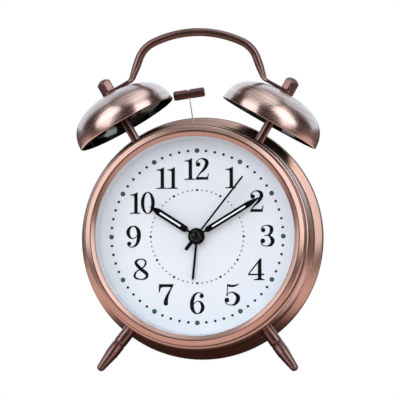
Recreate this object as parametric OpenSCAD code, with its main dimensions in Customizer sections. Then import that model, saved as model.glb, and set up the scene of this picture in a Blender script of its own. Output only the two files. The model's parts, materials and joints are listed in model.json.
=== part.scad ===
// Twin-bell quartz alarm clock, in millimetres.
// Every part is drawn in the clock's own frame: the centre of the dial's face is the origin, X is to
// the right, Y to the rear and Z up. posed() then leans the clock back until it stands on its two
// front legs and the bottom of its back cover.

/* [Case] */
// Outer radius of the drum's front edge
case_r = 54.6; // [54:0.1:55]
// Outer radius of the drum where its rear flange begins
waist_r = 55.4; // [55.1:0.1:56]
// Outer radius of the drum's rear flange
rim_r = 59.7; // [59.2:0.05:60]
// How far the flange turns out from the drum's side
flange_turn = 60; // [50:1:68]
// Radius of the curve between the side and the flange
fillet_r = 1.2; // [1:0.1:2]
// Sheet thickness of the drum
wall = 0.8; // [0.6:0.1:1]
// Front edge of the drum, along Y
drum_front = -9.2; // [-10:0.1:-8]
// Rear edge of the drum, along Y
drum_back = 31; // [30:0.5:32]
// Plane of the bells, the handle and the hammer, along Y
mid_y = 6; // [5.5:0.5:6.5]

/* [Bezel and glass] */
// Radius of the opening that shows the dial
view_r = 47.7; // [47:0.1:48.5]
// Half the width of the ring's crown, which is also how far its inner lip reaches back
crown_r = 2.6; // [2.4:0.1:2.8]
// Where the crown is highest, from its inner edge
crown_peak = 2.3; // [2.1:0.1:2.4]
// How far the crown's inner side slopes back
crown_inside = 34; // [30:1:38]
// How far the crown's outer side slopes back
crown_outside = 25; // [20:1:30]
// Front of the crown, along Y
bezel_front = -17; // [-17.5:0.1:-16.5]
// Sheet thickness of the ring
bezel_wall = 0.7; // [0.5:0.1:0.8]
// Thickness of the glass
glass_t = 1.5; // [1:0.1:1.6]

/* [Dial] */
// Radius of the dial plate
dial_r = 50; // [49:0.5:51]
// Thickness of the dial plate
dial_t = 0.8; // [0.6:0.1:0.8]

/* [Bells] */
// Outer radius of a bell's rim
bell_r = 25.7; // [24:0.1:26]
// Height of a bell
bell_h = 16.9; // [15:0.1:18]
// Wall thickness of a bell
bell_wall = 1; // [0.8:0.1:1.2]
// Exponent of the bell's outline: 2 is an ellipse, more is squarer
bell_n = 2.4; // [2:0.1:3]
// Direction of each bell's rim from the dial's centre, from straight up
bell_angle = 32.2; // [31:0.1:33]
// Lean of each bell's axis from the vertical
bell_tilt = 29.6; // [29:0.1:32]
// Distance of the rim's plane from the dial's centre
bell_rim_d = 64.9; // [64:0.1:66]
// Radius of a bell's post
post_r = 2.2; // [1.9:0.1:2.5]
// Radius of the threaded stud at each end of a post
stud_r = 1.5; // [1.3:0.1:1.6]
// Radius of a cap nut, across its corners
cap_r = 3.9; // [3.5:0.1:4.2]
// Height of a cap nut
cap_h = 6.5; // [6:0.1:7]

/* [Handle] */
// Radius of the handle's rod
rod_r = 2; // [1.8:0.1:2.2]
// Height of the rod's centre line at the top
handle_top = 99.8; // [99:0.1:101]
// Radius of the flat arch across the top
arch_r = 50; // [45:1:55]
// Radius of the two upper corners
corner_r = 14; // [12:1:15]
// Outward lean of the two uprights
upright_lean = 19.6; // [18:0.2:21]
// Thickness of the flattened tabs under the cap nuts
tab_t = 1.6; // [1.4:0.1:2]
// Width of the tabs
tab_w = 7; // [6.5:0.1:7.6]
// Length of a tab, from the stud to the bend
tab_len = 12.5; // [11:0.5:13]
// Radius of the bend between a tab and its upright
bend_r = 4; // [3:0.5:6]

/* [Legs] */
// Angle of each leg from straight down
leg_angle = 36.5; // [35:0.1:38]
// Forward lean of each leg
leg_tilt = 16.4; // [14:0.2:18]
// Length of a leg outside the case
leg_len = 26.6; // [25:0.2:28]
// Radius of a leg's thick end
leg_r = 3.15; // [2.8:0.05:3.3]
// Radius of a leg's rounded tip
tip_r = 2; // [1.7:0.05:2.2]

/* [Hammer] */
// Height of the hammer's pivot above the dial's centre
pivot_z = 40.4; // [40:0.2:41]
// Swing of the hammer each way from upright
swing = 8.3; // [8:0.1:8.4]
// Distance from the pivot to the head
hammer_len = 29.5; // [29:0.1:30]
// Length of the hammer's head
head_len = 15.2; // [14.5:0.1:15.4]
// Radius of the hammer's head
head_r = 2.3; // [2:0.1:2.5]
// Radius of the hammer's spring wire
wire_r = 0.3; // [0.25:0.05:0.4]
// Height of the striker motor's shaft
cam_z = 31; // [30.8:0.1:31.2]
// Throw of the crank pin on the motor's shaft
cam_throw = 1.2; // [1:0.1:1.3]

/* [Hands] */
// Direction of the hour hand, clockwise from 12
hour_at = 302.7; // [0:0.1:360]
// Length of the hour hand
hour_len = 27; // [25:0.5:29]
// Direction of the minute hand
minute_at = 58.5; // [0:0.1:360]
// Length of the minute hand
minute_len = 36.5; // [34:0.5:39]
// Direction of the second hand
second_at = 38; // [0:0.1:360]
// Length of the second hand
second_len = 36.5; // [34:0.5:39]
// Direction of the alarm hand
alarm_at = 185.6; // [0:0.1:360]
// Length of the alarm hand
alarm_len = 21.1; // [18:0.1:23]
// Thickness of the hands
hand_t = 0.4; // [0.3:0.1:0.5]

/* [Movement] */
// Clearance of a shaft in its bore, on the radius
running = 0.05; // [0.03:0.01:0.08]

/* [Back] */
// Radius of the back cover's flange
flange_r = 60; // [59:0.1:62]
// Thickness of the flange
flange_t = 2; // [1.6:0.1:2.4]
// Radius of a battery cell
cell_r = 7.1; // [6.9:0.1:7.2]
// Length of a battery cell without its nub
cell_len = 49.2; // [48.5:0.1:49.5]
// Travel of the battery door
door_travel = 6; // [4:0.5:6]
// Travel of the alarm switch
switch_travel = 4; // [3:0.5:4]
// Radius of the setting knobs
knob_r = 5; // [4:0.2:5.2]

/* [Hidden] */
$fn = 96;
tiny = 0.02;

// Copper plate, browned copper, steel, brass and the plastics
copper = [0.78, 0.52, 0.44];
brown_copper = [0.45, 0.29, 0.25];
steel = [0.75, 0.76, 0.78];
brass = [0.83, 0.69, 0.37];
black = [0.07, 0.07, 0.08];
white = [0.93, 0.95, 0.98];

// The ring of the bezel, in section
bezel_r = view_r + 2 * crown_r;
inside_r = bezel_r - bezel_wall - 0.3;
crown_ridge = 1;
crown_lip = 0.8;
crown_edge = 1.4;
crown_at = [view_r + crown_peak, bezel_front + crown_ridge];
glass_back = bezel_front + crown_r + 0.6 + glass_t;
skirt_back = drum_front + 5;

// The drum's side turns out through a fillet into a conical flange that ends in a rolled lip
lip_r = 0.8;
lip_at = [rim_r - lip_r, drum_back - lip_r];
flange_end = lip_at + lip_r * [cos(flange_turn), -sin(flange_turn)];
fillet_rise = fillet_r * (1 - cos(flange_turn));
flange_run = (flange_end[0] - waist_r - fillet_rise) / tan(flange_turn);
fillet_at = [waist_r + fillet_r, flange_end[1] - flange_run - fillet_r * sin(flange_turn)];
shoulder_r = 1.6;

// Length and width of the slot the hammer's wire comes out of, and the nuts inside the drum
hammer_slot = [7.2, 2.4];
nut_r = 3.2;
nut_h = 2.4;
thread_gap = 0.03;

// The back cover
cover_y = drum_back;
cover_t = 3;
cover_back = cover_y + cover_t;
plate_r = flange_r - 6;
flange_edge = 0.5;
spigot_r = 54.3;
spigot_t = 1.5;
spigot_len = 4;
pillar_r = 3;
pillar_d = 47;
pillar_angles = [45, 135, 225, 315];
pilot_r = 1.12;
screw_r = 1.1;
head_hole_r = 2.8;
sink = 1.4;

// The battery box: two cells side by side, one above the other
cell_gap = 1;
cell_y = cover_y - cell_r - 0.1;
cell_z = [for (i = [0, 1]) -20.4 - i * (2 * cell_r + cell_gap)];
box_x = 27.6;
box_top = cell_z[0] + cell_r + 0.7;
box_bottom = cell_z[1] - cell_r - 0.7;
box_wall = 1.2;
box_floor = cell_y - cell_r - 0.7;
door_x = box_x + 2;
door_lap = 2.2;
door_t = 1.6;
rail = 0.8;

// The switch on the back cover
switch_x = 16;
switch_z = 27;
stem_w = 3;

// The movement's case
move_x = 27;
move_top = 23;
move_bottom = -30;
move_wall = 1.2;
move_y = [1, 2.2, 12, 13.2];
boss_at = [[-23, 19], [23, -26], [0, -26]];
boss_r = 2.25;

// The striker: its plate front and back, its posts, and the crank's pin, disc and shaft
wire_foot = 3.2;
bracket_y = [10.6, 11.6];
bracket_posts = [[-10, 45], [10, 45]];
boss_out_r = 2;
shaft_r = 0.75;
cam_y = [4.8, 8.4, 9.8, 13.2];

// Levels of the gears, from the dial backwards: [front face, thickness]
alarm_y = [2.6, 0.6];
hour_y = [3.8, 0.6];
motion_y = [5, 0.6];
centre_y = [6.4, 0.5];
third_y = [7.6, 0.4];
second_y = [8.8, 0.4];
inter_y = [9.8, 0.4];
magnet_y = [7.4, 2];

// The circuit board, the stator's sheet and the coil round its long limb
board_y = 9.5;
stator_y = 8.1;
stator_t = 0.7;
coil_x = 21.5;
core_w = 2.6;
pinion_lap = 0.1;
pivot_end = 12.7;

// Distances from the centre to the minute wheel and the alarm arbor, the third wheel and the
// intermediate wheel
motion_d = 10;
third_d = 9.2;
inter_d = 9.1;

// Pipes and arbors on the centre line: radius of each, inside out
second_arbor_r = 0.4;
minute_pipe_r = 1;
hour_pipe_r = 1.7;
alarm_pipe_r = 2.5;
bush_r = 3.4;
arbor_r = 1;
pivot_r = 0.5;
hub_gap = 0.03;

// Fronts of the hands, from the dial outwards
alarm_hand_y = -1.9;
hour_hand_y = -3.4;
minute_hand_y = -4.9;
second_hand_y = -6.5;
cap_front = -9;

// Where the arbors stand, seen from the front
function polar(d, a) = [d * cos(a), d * sin(a)];
rotor_module = 0.26;
rotor_d = rotor_module * (40 + 8) / 2;
minute_wheel_at = polar(motion_d, 150);
time_at = polar(2 * motion_d, 150);
alarm_arbor_at = polar(motion_d, 30);
third_at = polar(third_d, 270);
inter_at = polar(inter_d, 90);
rotor_at = polar(inter_d + rotor_d, 90);

// How far the clock leans back to stand on its leg tips and the flange of its back cover
tip_reach = leg_len - tip_r;
tip_y = mid_y - tip_reach * sin(leg_tilt);
tip_z = -(case_r + tip_reach * cos(leg_tilt)) * cos(leg_angle);
edge_y = cover_y + flange_t - flange_edge;
edge_r = flange_r - flange_edge;
stand_y = edge_y - tip_y;
stand_z = -tip_z - edge_r;
lean = atan2(stand_z, stand_y) + asin((tip_r - flange_edge) / norm([stand_y, stand_z]));
lift = edge_y * sin(lean) + edge_r * cos(lean) + flange_edge;
knob_back = cover_back + 5.6;
front_y = crown_at[1] * cos(lean) - crown_at[0] * sin(lean)
    - crown_ridge;
rear_y = max(
    knob_back * cos(lean) + (time_at[1] + knob_r) * sin(lean),
    edge_y * cos(lean) + edge_r * sin(lean) + flange_edge,
    cover_back * cos(lean) + plate_r * sin(lean)
);
shift_y = -(front_y + rear_y) / 2;

// Points along an arc, for an outline
function arc(c, r, a0, a1, n) = [
    for (i = [0 : n])
        let (a = a0 + (a1 - a0) * i / n)
            [c[0] + r * cos(a), c[1] + r * sin(a)]
];

// Outline of one quarter of a rounded square, from the rim to the top
function quarter(r, h, n) = [
    for (i = [0 : 24])
        let (a = 90 * i / 24)
            [r * pow(cos(a), 2 / n), h * pow(sin(a), 2 / n)]
];
// Centre of a round edge of radius r at x whose flank, facing angle a, is level with the ridge's
function crown_round(x, r, a) =
    [x, crown_at[1] + ((crown_at[0] - x) * cos(a) + crown_ridge - r) / sin(a)];

// The crown of the bezel, from its inner to its outer edge, at a depth below its surface
function crown(d) = let (in = 270 - crown_inside, out = 270 + crown_outside) concat(
    [[view_r + d, bezel_front + crown_r]],
    arc(crown_round(view_r + crown_lip, crown_lip, in), crown_lip - d, 180, in, 6),
    arc(crown_at, crown_ridge - d, in, out, 10),
    arc(crown_round(bezel_r - crown_edge, crown_edge, out), crown_edge - d, out, 360, 8)
);

function backwards(p) = [for (i = [len(p) - 1 : -1 : 0]) p[i]];

// Outline of a gear of n teeth: each tooth narrows from its root to its tip
function tooth(n, m, i) =
    let (
        pitch = 360 / n,
        a = i * pitch,
        root = m * (n / 2 - 1.15),
        tip = m * (n / 2 + 0.85)
    )
    [
        polar(root, a - 0.3 * pitch),
        polar(tip, a - 0.1 * pitch),
        polar(tip, a + 0.1 * pitch),
        polar(root, a + 0.3 * pitch)
    ];
function teeth(n, m) = [for (i = [0 : n - 1]) each tooth(n, m, i)];

// Leans the finished clock back and sets it on the table
module posed() {
    translate([0, shift_y, lift]) rotate([-lean, 0, 0]) children();
}

// Turns an outline of [radius, Y] about the dial's axis
module lathe() {
    rotate([-90, 0, 0]) rotate_extrude() children();
}

// Thickens an outline of [X, Z], from y0 towards the rear
module slab(y0, t) {
    translate([0, y0 + t, 0]) rotate([90, 0, 0]) linear_extrude(t) children();
}

// A round bar along Y at [X, Z]
module bar(at, r, y0, y1) {
    translate([at[0], y0, at[1]]) rotate([-90, 0, 0]) cylinder(r = r, h = y1 - y0);
}

// Turns a part that stands on +Z to an angle clockwise from 12
module toward(angle) {
    rotate([0, angle, 0]) children();
}

// A gear on [front face, thickness]; a pinion points a tooth along dir, a wheel points a gap
module pinion(at, n, m, y, dir) {
    slab(y[0] - pinion_lap, y[1] + 2 * pinion_lap) translate(at) rotate(dir) polygon(teeth(n, m));
}

module wheel(at, n, m, y, dir) {
    slab(y[0], y[1]) translate(at) rotate(dir + 180 / n) polygon(teeth(n, m));
}

// The drum as a solid body, grown by extra, for cutting what seats on it
module drum_body(extra) {
    lathe() polygon(concat(
        [[0, drum_back], [0, drum_front], [case_r + extra, drum_front]],
        [[case_r + extra, drum_front + shoulder_r]],
        arc(fillet_at, fillet_r - extra, 180, 180 - flange_turn, 12)
    ));
}

// The axis of one leg, from the case outwards
module leg_axis(side) {
    toward(side * (180 - leg_angle)) translate([0, mid_y, case_r]) rotate([leg_tilt, 0, 0])
        children();
}

// The axis of one bell, outwards: its rim's plane is at bell_rim_d
module bell_axis(side) {
    toward(side * bell_angle) translate([0, mid_y, bell_rim_d])
        toward(side * (bell_tilt - bell_angle)) translate([0, 0, -bell_rim_d]) children();
}

// ---- Case, bezel and dial ----

module case_drum() {
    outer = concat(
        arc([case_r - shoulder_r, drum_front + shoulder_r], shoulder_r, -90, 0, 8),
        arc(fillet_at, fillet_r, 180, 180 - flange_turn, 12),
        arc(lip_at, lip_r, -flange_turn, 90, 10)
    );
    inner = concat(
        [[rim_r - 2.6 * lip_r, drum_back]],
        arc(fillet_at, fillet_r + wall, 180 - flange_turn, 180, 12),
        [[case_r - wall, drum_front + shoulder_r], [case_r - shoulder_r, drum_front + wall]]
    );
    color(copper) difference() {
        lathe() polygon(concat(outer, inner));
        for (side = [-1, 1]) {
            bell_axis(side) translate([0, 0, case_r - 4]) cylinder(r = stud_r + 0.1, h = 8);
            leg_axis(side) translate([0, 0, -4]) cylinder(r = stud_r + 0.2, h = 8);
        }
        translate([-hammer_slot[0] / 2, mid_y - hammer_slot[1] / 2, case_r - 3])
            cube([hammer_slot[0], hammer_slot[1], 6]);
    }
}

module bezel_ring() {
    color(copper) lathe() polygon(concat(
        crown(0),
        [[bezel_r, skirt_back], [bezel_r - bezel_wall, skirt_back]],
        backwards(crown(bezel_wall))
    ));
}

module glass_lens() {
    color([0.85, 0.92, 0.95, 0.3]) lathe() translate([0, glass_back - glass_t])
        square([bezel_r - bezel_wall - 0.4, glass_t]);
}

module dial_ring() {
    foot = -0.05;
    top = glass_back + 0.05;
    color(white) lathe() polygon([
        [view_r - 0.5, foot], [view_r + 0.9, top], [inside_r, top], [inside_r, foot]
    ]);
}

module dial_plate() {
    color(white) difference() {
        lathe() square([dial_r, dial_t]);
        bar([0, 0], bush_r + 0.1, -1, 2);
    }
}

module inner_frame() {
    inner_r = 43;
    front = dial_t + 0.1;
    color(white) difference() {
        union() {
            lathe() translate([inner_r, front]) square([inside_r - inner_r, 1.4]);
            for (a = pillar_angles) bar(polar(pillar_d, a), pillar_r, front, cover_y);
        }
        for (a = pillar_angles) bar(polar(pillar_d, a), pilot_r, cover_y - 12, cover_y + 1);
    }
}

// ---- Bells, posts and handle ----

module bell(side) {
    color(copper) bell_axis(side) difference() {
        translate([0, 0, bell_rim_d]) rotate_extrude() polygon(concat(
            quarter(bell_r, bell_h, bell_n),
            backwards(quarter(bell_r - bell_wall, bell_h - bell_wall, bell_n))
        ));
        translate([0, 0, bell_rim_d]) cylinder(r = stud_r + 0.1, h = 2 * bell_h);
    }
}

module bell_post(side) {
    shoulder = bell_rim_d + bell_h - bell_wall - 0.04;
    inner_end = case_r - 6;
    outer_end = shoulder + cap_h - 0.6;
    color(brown_copper) {
        difference() {
            bell_axis(side) translate([0, 0, case_r - 1]) cylinder(r = post_r, h = shoulder - case_r + 1);
            drum_body(tiny);
        }
        bell_axis(side) translate([0, 0, inner_end]) cylinder(r = stud_r, h = outer_end - inner_end);
    }
}

// A hexagonal nut inside the drum
module inner_nut() {
    difference() {
        cylinder(r = nut_r, h = nut_h, $fn = 6);
        translate([0, 0, -1]) cylinder(r = stud_r + thread_gap, h = nut_h + 2);
    }
}

module post_nuts() {
    color(steel) for (side = [-1, 1]) bell_axis(side) translate([0, 0, case_r - wall - nut_h - 0.4])
        inner_nut();
}

// A cap nut is a hexagonal bar whose top is rounded off to a dome
module cap_nut(side) {
    foot = bell_rim_d + bell_h + tab_t;
    dome_h = 3.2;
    end_t = 1.5;
    color(brown_copper) bell_axis(side) translate([0, 0, foot]) difference() {
        intersection() {
            cylinder(r = cap_r, h = cap_h, $fn = 6);
            rotate_extrude() polygon(concat(
                [[0, 0], [cap_r + tiny, 0]],
                [for (a = [0 : 10 : 90]) [(cap_r + tiny) * cos(a), cap_h - dome_h + dome_h * sin(a)]]
            ));
        }
        translate([0, 0, -1]) cylinder(r = stud_r + thread_gap, h = 1 + cap_h - end_t);
    }
}

// The handle's centre line in [X, Z]: half an arch, a corner, an upright, a bend and a flat tab
axis_way = [sin(bell_tilt), cos(bell_tilt)];
stud_at = bell_rim_d * [sin(bell_angle), cos(bell_angle)] + (bell_h + tab_t / 2) * axis_way;
tab_way = [cos(bell_tilt), -sin(bell_tilt)];
upright_way = [-sin(upright_lean), cos(upright_lean)];
handle_foot = stud_at - tab_len * tab_way;
bend_turn = 90 - bell_tilt - upright_lean;
bend_cut = bend_r * tan(bend_turn / 2);
arch_z = handle_top - arch_r;
arch_gap = arch_r - corner_r;
foot_off = handle_foot[0] * cos(upright_lean) + (handle_foot[1] - arch_z) * sin(upright_lean);
arch_half = asin((foot_off - corner_r) / arch_gap) - upright_lean;
corner_at = [arch_gap * sin(arch_half), arch_z + arch_gap * cos(arch_half)];

// Stations of the right half, from the tab's end to the middle of the arch: [X, Z, width, thickness,
// squareness]
rod_d = 2 * rod_r;
flat = 0.45;
bend_w = [tab_w, rod_d + 1];
bend_t = [tab_t, rod_d - 1];
tab_end = [
    for (a = [10, 25, 40, 60, 90])
        concat(stud_at + tab_w / 2 * cos(a) * tab_way, [tab_w * sin(a), tab_t, flat])
];
tab_root = [concat(handle_foot + (bend_cut + 2.5) * tab_way, [tab_w, tab_t, flat])];
bend_c = handle_foot + bend_cut * tab_way + bend_r * axis_way;
bend = [
    for (i = [0 : 4])
        let (
            a = 270 - bell_tilt - i * bend_turn / 4,
            w = bend_w[0] + (bend_w[1] - bend_w[0]) * i / 4,
            t = bend_t[0] + (bend_t[1] - bend_t[0]) * i / 4
        )
            concat(bend_c + polar(bend_r, a), [w, t, flat + 0.1 * i])
];
upright = [
    concat(handle_foot + (bend_cut + 3) * upright_way, [rod_d + 0.4, rod_d - 0.4, 1]),
    concat(handle_foot + (bend_cut + 6) * upright_way, [rod_d, rod_d, 1])
];
corner = [
    for (p = arc(corner_at, corner_r, upright_lean, 90 - arch_half, 6))
        concat(p, [rod_d, rod_d, 1])
];
arch = [for (p = arc([0, arch_z], arch_r, 90 - arch_half, 90, 5)) concat(p, [rod_d, rod_d, 1])];
half_rod = concat(tab_end, tab_root, bend, upright, corner, [for (i = [1 : 5]) arch[i]]);
other_half = [for (i = [len(half_rod) - 2 : -1 : 0])
    let (p = half_rod[i]) [-p[0], p[1], p[2], p[3], p[4]]];
rod = concat(half_rod, other_half);

function bulge(v, e) = sign(v) * pow(abs(v), e);

// One ring of the rod: its section stands square to the centre line
function ring(path, i, sides) =
    let (
        p = path[i],
        before = path[max(i - 1, 0)],
        after = path[min(i + 1, len(path) - 1)],
        step = [after[0] - before[0], after[1] - before[1]],
        way = step / norm(step)
    )
    [
        for (k = [0 : sides - 1])
            let (
                a = 360 * k / sides,
                across = p[2] / 2 * bulge(cos(a), p[4]),
                up = p[3] / 2 * bulge(sin(a), p[4])
            )
                [p[0] - way[1] * up, across, p[1] + way[0] * up]
    ];

module swept(path, sides) {
    count = len(path);
    points = [for (i = [0 : count - 1]) each ring(path, i, sides)];
    sleeve = [
        for (i = [0 : count - 2])
            for (k = [0 : sides - 1])
                let (here = i * sides, next = here + sides, turn = (k + 1) % sides)
                    [here + k, next + k, next + turn, here + turn]
    ];
    front_cap = [[for (k = [0 : sides - 1]) k]];
    back_cap = [[for (k = [sides - 1 : -1 : 0]) (count - 1) * sides + k]];
    polyhedron(points, concat(sleeve, front_cap, back_cap), convexity = 8);
}

module handle() {
    color(brown_copper) translate([0, mid_y, 0]) difference() {
        swept(rod, 16);
        for (side = [-1, 1]) translate([0, -mid_y, 0]) bell_axis(side)
            translate([0, 0, bell_rim_d]) rotate(50) cylinder(r = stud_r + 0.1, h = 2 * bell_h);
    }
}

// ---- Legs ----

module leg(side) {
    taper = 16.4;
    groove = 10;
    groove_r = leg_r - 0.25;
    inside = 3;
    stud_end = 6.5;
    color(brown_copper) {
        difference() {
            leg_axis(side) rotate_extrude() polygon(concat(
                [[0, -inside], [leg_r, -inside], [leg_r, groove - 0.4], [groove_r, groove]],
                [[groove_r, groove + 0.2], [leg_r - 0.05, groove + 0.6], [leg_r - 0.1, taper]],
                arc([0, tip_reach], tip_r, 10, 90, 8)
            ));
            drum_body(tiny);
        }
        leg_axis(side) translate([0, 0, -stud_end]) cylinder(r = stud_r, h = stud_end + 1.5);
    }
}

module leg_nuts() {
    depth = 4.8;
    color(steel) for (side = [-1, 1]) leg_axis(side) translate([0, 0, -depth]) inner_nut();
}

// ---- Hammer and striker ----

// The hammer's own frame: its pivot is the origin and its wire stands on +Z
module hammer_axis() {
    translate([0, mid_y, pivot_z]) rotate([0, -swing, 0]) children();
}

module hammer_head() {
    half = head_len / 2;
    edge = 0.5;
    groove = [0.4, 0.7];
    groove_r = head_r - 0.4;
    color(brown_copper) hammer_axis() difference() {
        translate([0, 0, hammer_len]) rotate([0, 90, 0]) rotate_extrude() polygon([
            [0, -half], [head_r - edge, -half], [head_r, edge - half], [head_r, -groove[1]],
            [groove_r, -groove[0]], [groove_r, groove[0]], [head_r, groove[1]],
            [head_r, half - edge], [head_r - edge, half], [0, half]
        ]);
        translate([0, 0, hammer_len - 4]) cylinder(r = wire_r + thread_gap, h = 4.5, $fn = 24);
    }
}

module hammer_wire() {
    color(steel) hammer_axis() translate([0, 0, wire_foot])
        cylinder(r = wire_r, h = hammer_len + 0.2 - wire_foot, $fn = 24);
}

// The arm turns on the pivot, holds the wire and reaches down to a fork round the crank pin
module hammer_arm() {
    hub_r = 2.4;
    hub_t = 2.2;
    neck_w = 3;
    neck_h = 7;
    fork = 3.4;
    prong = 1.2;
    bridge_z = -3.8;
    bridge_h = 2.4;
    prong_end = -11.5;
    color(steel) hammer_axis() difference() {
        union() {
            bar([0, 0], hub_r, -hub_t / 2, hub_t / 2);
            translate([-neck_w / 2, -hub_t / 2, 0]) cube([neck_w, hub_t, neck_h]);
            translate([-fork - prong, -prong / 2, bridge_z]) cube([2 * (fork + prong), prong, bridge_h]);
            for (x = [-fork - prong, fork])
                translate([x, -prong / 2, prong_end]) cube([prong, prong, bridge_z + 0.3 - prong_end]);
        }
        bar([0, 0], arbor_r + running, -2, 2);
        translate([0, 0, wire_foot]) cylinder(r = wire_r + thread_gap, h = 5, $fn = 24);
    }
}

module hammer_pivot() {
    flange = [mid_y - 2.2, mid_y - 1.3];
    color(steel) {
        bar([0, pivot_z], arbor_r, mid_y - 1.4, bracket_y[1]);
        bar([0, pivot_z], 1.8, flange[0], flange[1]);
    }
}

// A plate on two posts carries the motor and the hammer's pivot
module striker_bracket() {
    foot_w = 9;
    plate_w = 13;
    plate_z = [24.2, 40, 46, 48];
    bevel = 2;
    color(black) difference() {
        union() {
            slab(bracket_y[0], bracket_y[1] - bracket_y[0]) polygon([
                [-foot_w, plate_z[0]], [foot_w, plate_z[0]], [plate_w, plate_z[1]],
                [plate_w, plate_z[2]], [plate_w - bevel, plate_z[3]],
                [bevel - plate_w, plate_z[3]], [-plate_w, plate_z[2]], [-plate_w, plate_z[1]]
            ]);
            for (p = bracket_posts) bar(p, 2.4, bracket_y[0], cover_y);
        }
        bar([0, cam_z], boss_out_r + 0.2, bracket_y[0] - 1, bracket_y[1] + 1);
        bar([0, pivot_z], arbor_r + tiny, bracket_y[0] - 1, bracket_y[1] + 1);
        for (p = bracket_posts) bar(p, pilot_r, cover_y - 12, cover_y + 1);
    }
}

// A small motor: a round can with two flats
module striker_motor() {
    can_r = 6;
    can_w = 10;
    can_y = [bracket_y[1] + 0.05, 26.6];
    color(steel) difference() {
        union() {
            intersection() {
                bar([0, cam_z], can_r, can_y[0], can_y[1]);
                translate([-can_w / 2, can_y[0] - 1, cam_z - can_r - 1])
                    cube([can_w, can_y[1] - can_y[0] + 2, 2 * can_r + 2]);
            }
            bar([0, cam_z], boss_out_r, bracket_y[0] + 0.2, can_y[0] + 0.3);
        }
        bar([0, cam_z], shaft_r + running, bracket_y[0] - 1, cam_y[3] + 0.2);
    }
}

// A disc on the motor's shaft with a crank pin in front
module striker_cam() {
    disc_r = 3;
    pin_r = 0.5;
    color(brass) {
        bar([0, cam_z], disc_r, cam_y[1], cam_y[2]);
        bar([0, cam_z], shaft_r, cam_y[2] - 0.1, cam_y[3]);
        bar([0, cam_z + cam_throw], pin_r, cam_y[0], cam_y[1] + 0.1);
    }
}

// ---- Hands ----

// A baton hand with an open slot: neck, body and point. w is the body's width, s the slot's
module baton(len, w, s, neck, body, slot) {
    stem = 0.5;
    flank = neck + 1.2;
    difference() {
        polygon([
            [-stem, 0], [-stem, neck], [-w / 2, flank], [-w / 2, body], [0, len],
            [w / 2, body], [w / 2, flank], [stem, neck], [stem, 0]
        ]);
        polygon([[-s / 2, slot[0]], [-s / 2, slot[1]], [s / 2, slot[1]], [s / 2, slot[0]]]);
    }
}

module hand(angle, y, hub, bore) {
    toward(angle) slab(y, hand_t) difference() {
        union() {
            circle(r = hub);
            children();
        }
        circle(r = bore + hub_gap);
    }
}

module hour_hand() {
    color(black) hand(hour_at, hour_hand_y, 3.8, hour_pipe_r)
        baton(hour_len, 3.2, 0.95, 5.6, hour_len - 3.6, [9.2, hour_len - 5.7]);
}

module minute_hand() {
    color(black) hand(minute_at, minute_hand_y, 4.05, minute_pipe_r)
        baton(minute_len, 2.8, 0.8, 5.2, minute_len - 6.5, [8.8, minute_len - 8.7]);
}

module second_hand() {
    tail = -8.5;
    tail_w = 0.85;
    needle_w = 0.42;
    color(black) hand(second_at, second_hand_y, 1.6, second_arbor_r) polygon([
        [-tail_w, tail], [-tail_w, -1], [-needle_w, 1], [-needle_w, second_len],
        [needle_w, second_len], [needle_w, 1], [tail_w, -1], [tail_w, tail]
    ]);
}

module alarm_hand() {
    half_w = 0.5;
    tip = alarm_len - 0.8;
    color(black) hand(alarm_at, alarm_hand_y, 3.3, alarm_pipe_r) polygon([
        [-half_w, 0], [-half_w, tip], [0, alarm_len], [half_w, tip], [half_w, 0]
    ]);
}

module hand_cap() {
    dome_r = 2.7;
    edge = second_hand_y - 0.6;
    seat = second_hand_y - tiny;
    bore = second_arbor_r + hub_gap;
    roof = second_hand_y - 0.5;
    color(black) lathe() polygon(concat(
        [[0, roof], [0, cap_front]],
        [for (a = [80 : -10 : 0]) [dome_r * cos(a), edge + (cap_front - edge) * sin(a)]],
        [[dome_r, seat], [bore, seat], [bore, roof]]
    ));
}

// ---- Movement ----

module movement_front() {
    width = 2 * move_x;
    height = move_top - move_bottom;
    color(black) difference() {
        union() {
            difference() {
                translate([-move_x, move_y[0], move_bottom]) cube([width, move_y[2] - move_y[0], height]);
                translate([move_wall - move_x, move_y[1], move_bottom + move_wall])
                    cube([width - 2 * move_wall, 12, height - 2 * move_wall]);
            }
            bar([0, 0], bush_r, -0.8, move_y[0] + 0.1);
            for (p = boss_at) bar(p, boss_r, move_y[1] - 0.1, move_y[2]);
        }
        bar([0, 0], alarm_pipe_r + running, -2, 3);
        for (p = boss_at) bar(p, 0.8, move_y[2] - 6, move_y[2] + 1);
        for (p = [minute_wheel_at, third_at, rotor_at, time_at, alarm_arbor_at])
            bar(p, pivot_r + running, move_y[0] + 0.3, 3);
        bar(inter_at, pivot_r + running, 0, 3);
    }
}

module movement_back() {
    width = 2 * move_x;
    height = move_top - move_bottom;
    color(black) difference() {
        translate([-move_x, move_y[2], move_bottom]) cube([width, move_y[3] - move_y[2], height]);
        for (p = [time_at, alarm_arbor_at]) bar(p, arbor_r + running, 11, 14);
        for (p = [minute_wheel_at, third_at, rotor_at, inter_at]) bar(p, pivot_r + running, 11, 12.9);
        bar([0, 0], second_arbor_r + running, 11, 12.9);
        for (p = boss_at) bar(p, 0.95, 11, 14);
    }
}

// A cross-head screw at [X, Z]: its thread from y0, its head from y1
module screw(at, r, head, y0, y1, head_t) {
    slot = [1.2 * head, 1.2, 0.6];
    difference() {
        union() {
            bar(at, r, y0, y1 + 0.1);
            bar(at, head, y1, y1 + head_t);
        }
        for (turn = [0, 90]) translate([at[0], y1 + head_t, at[1]]) rotate([0, turn, 0])
            cube(slot, center = true);
    }
}

module movement_screws() {
    color(steel) for (p = boss_at) screw(p, 0.75, 1.6, move_y[2] - 5, move_y[3] + tiny, 0.9);
}

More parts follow.
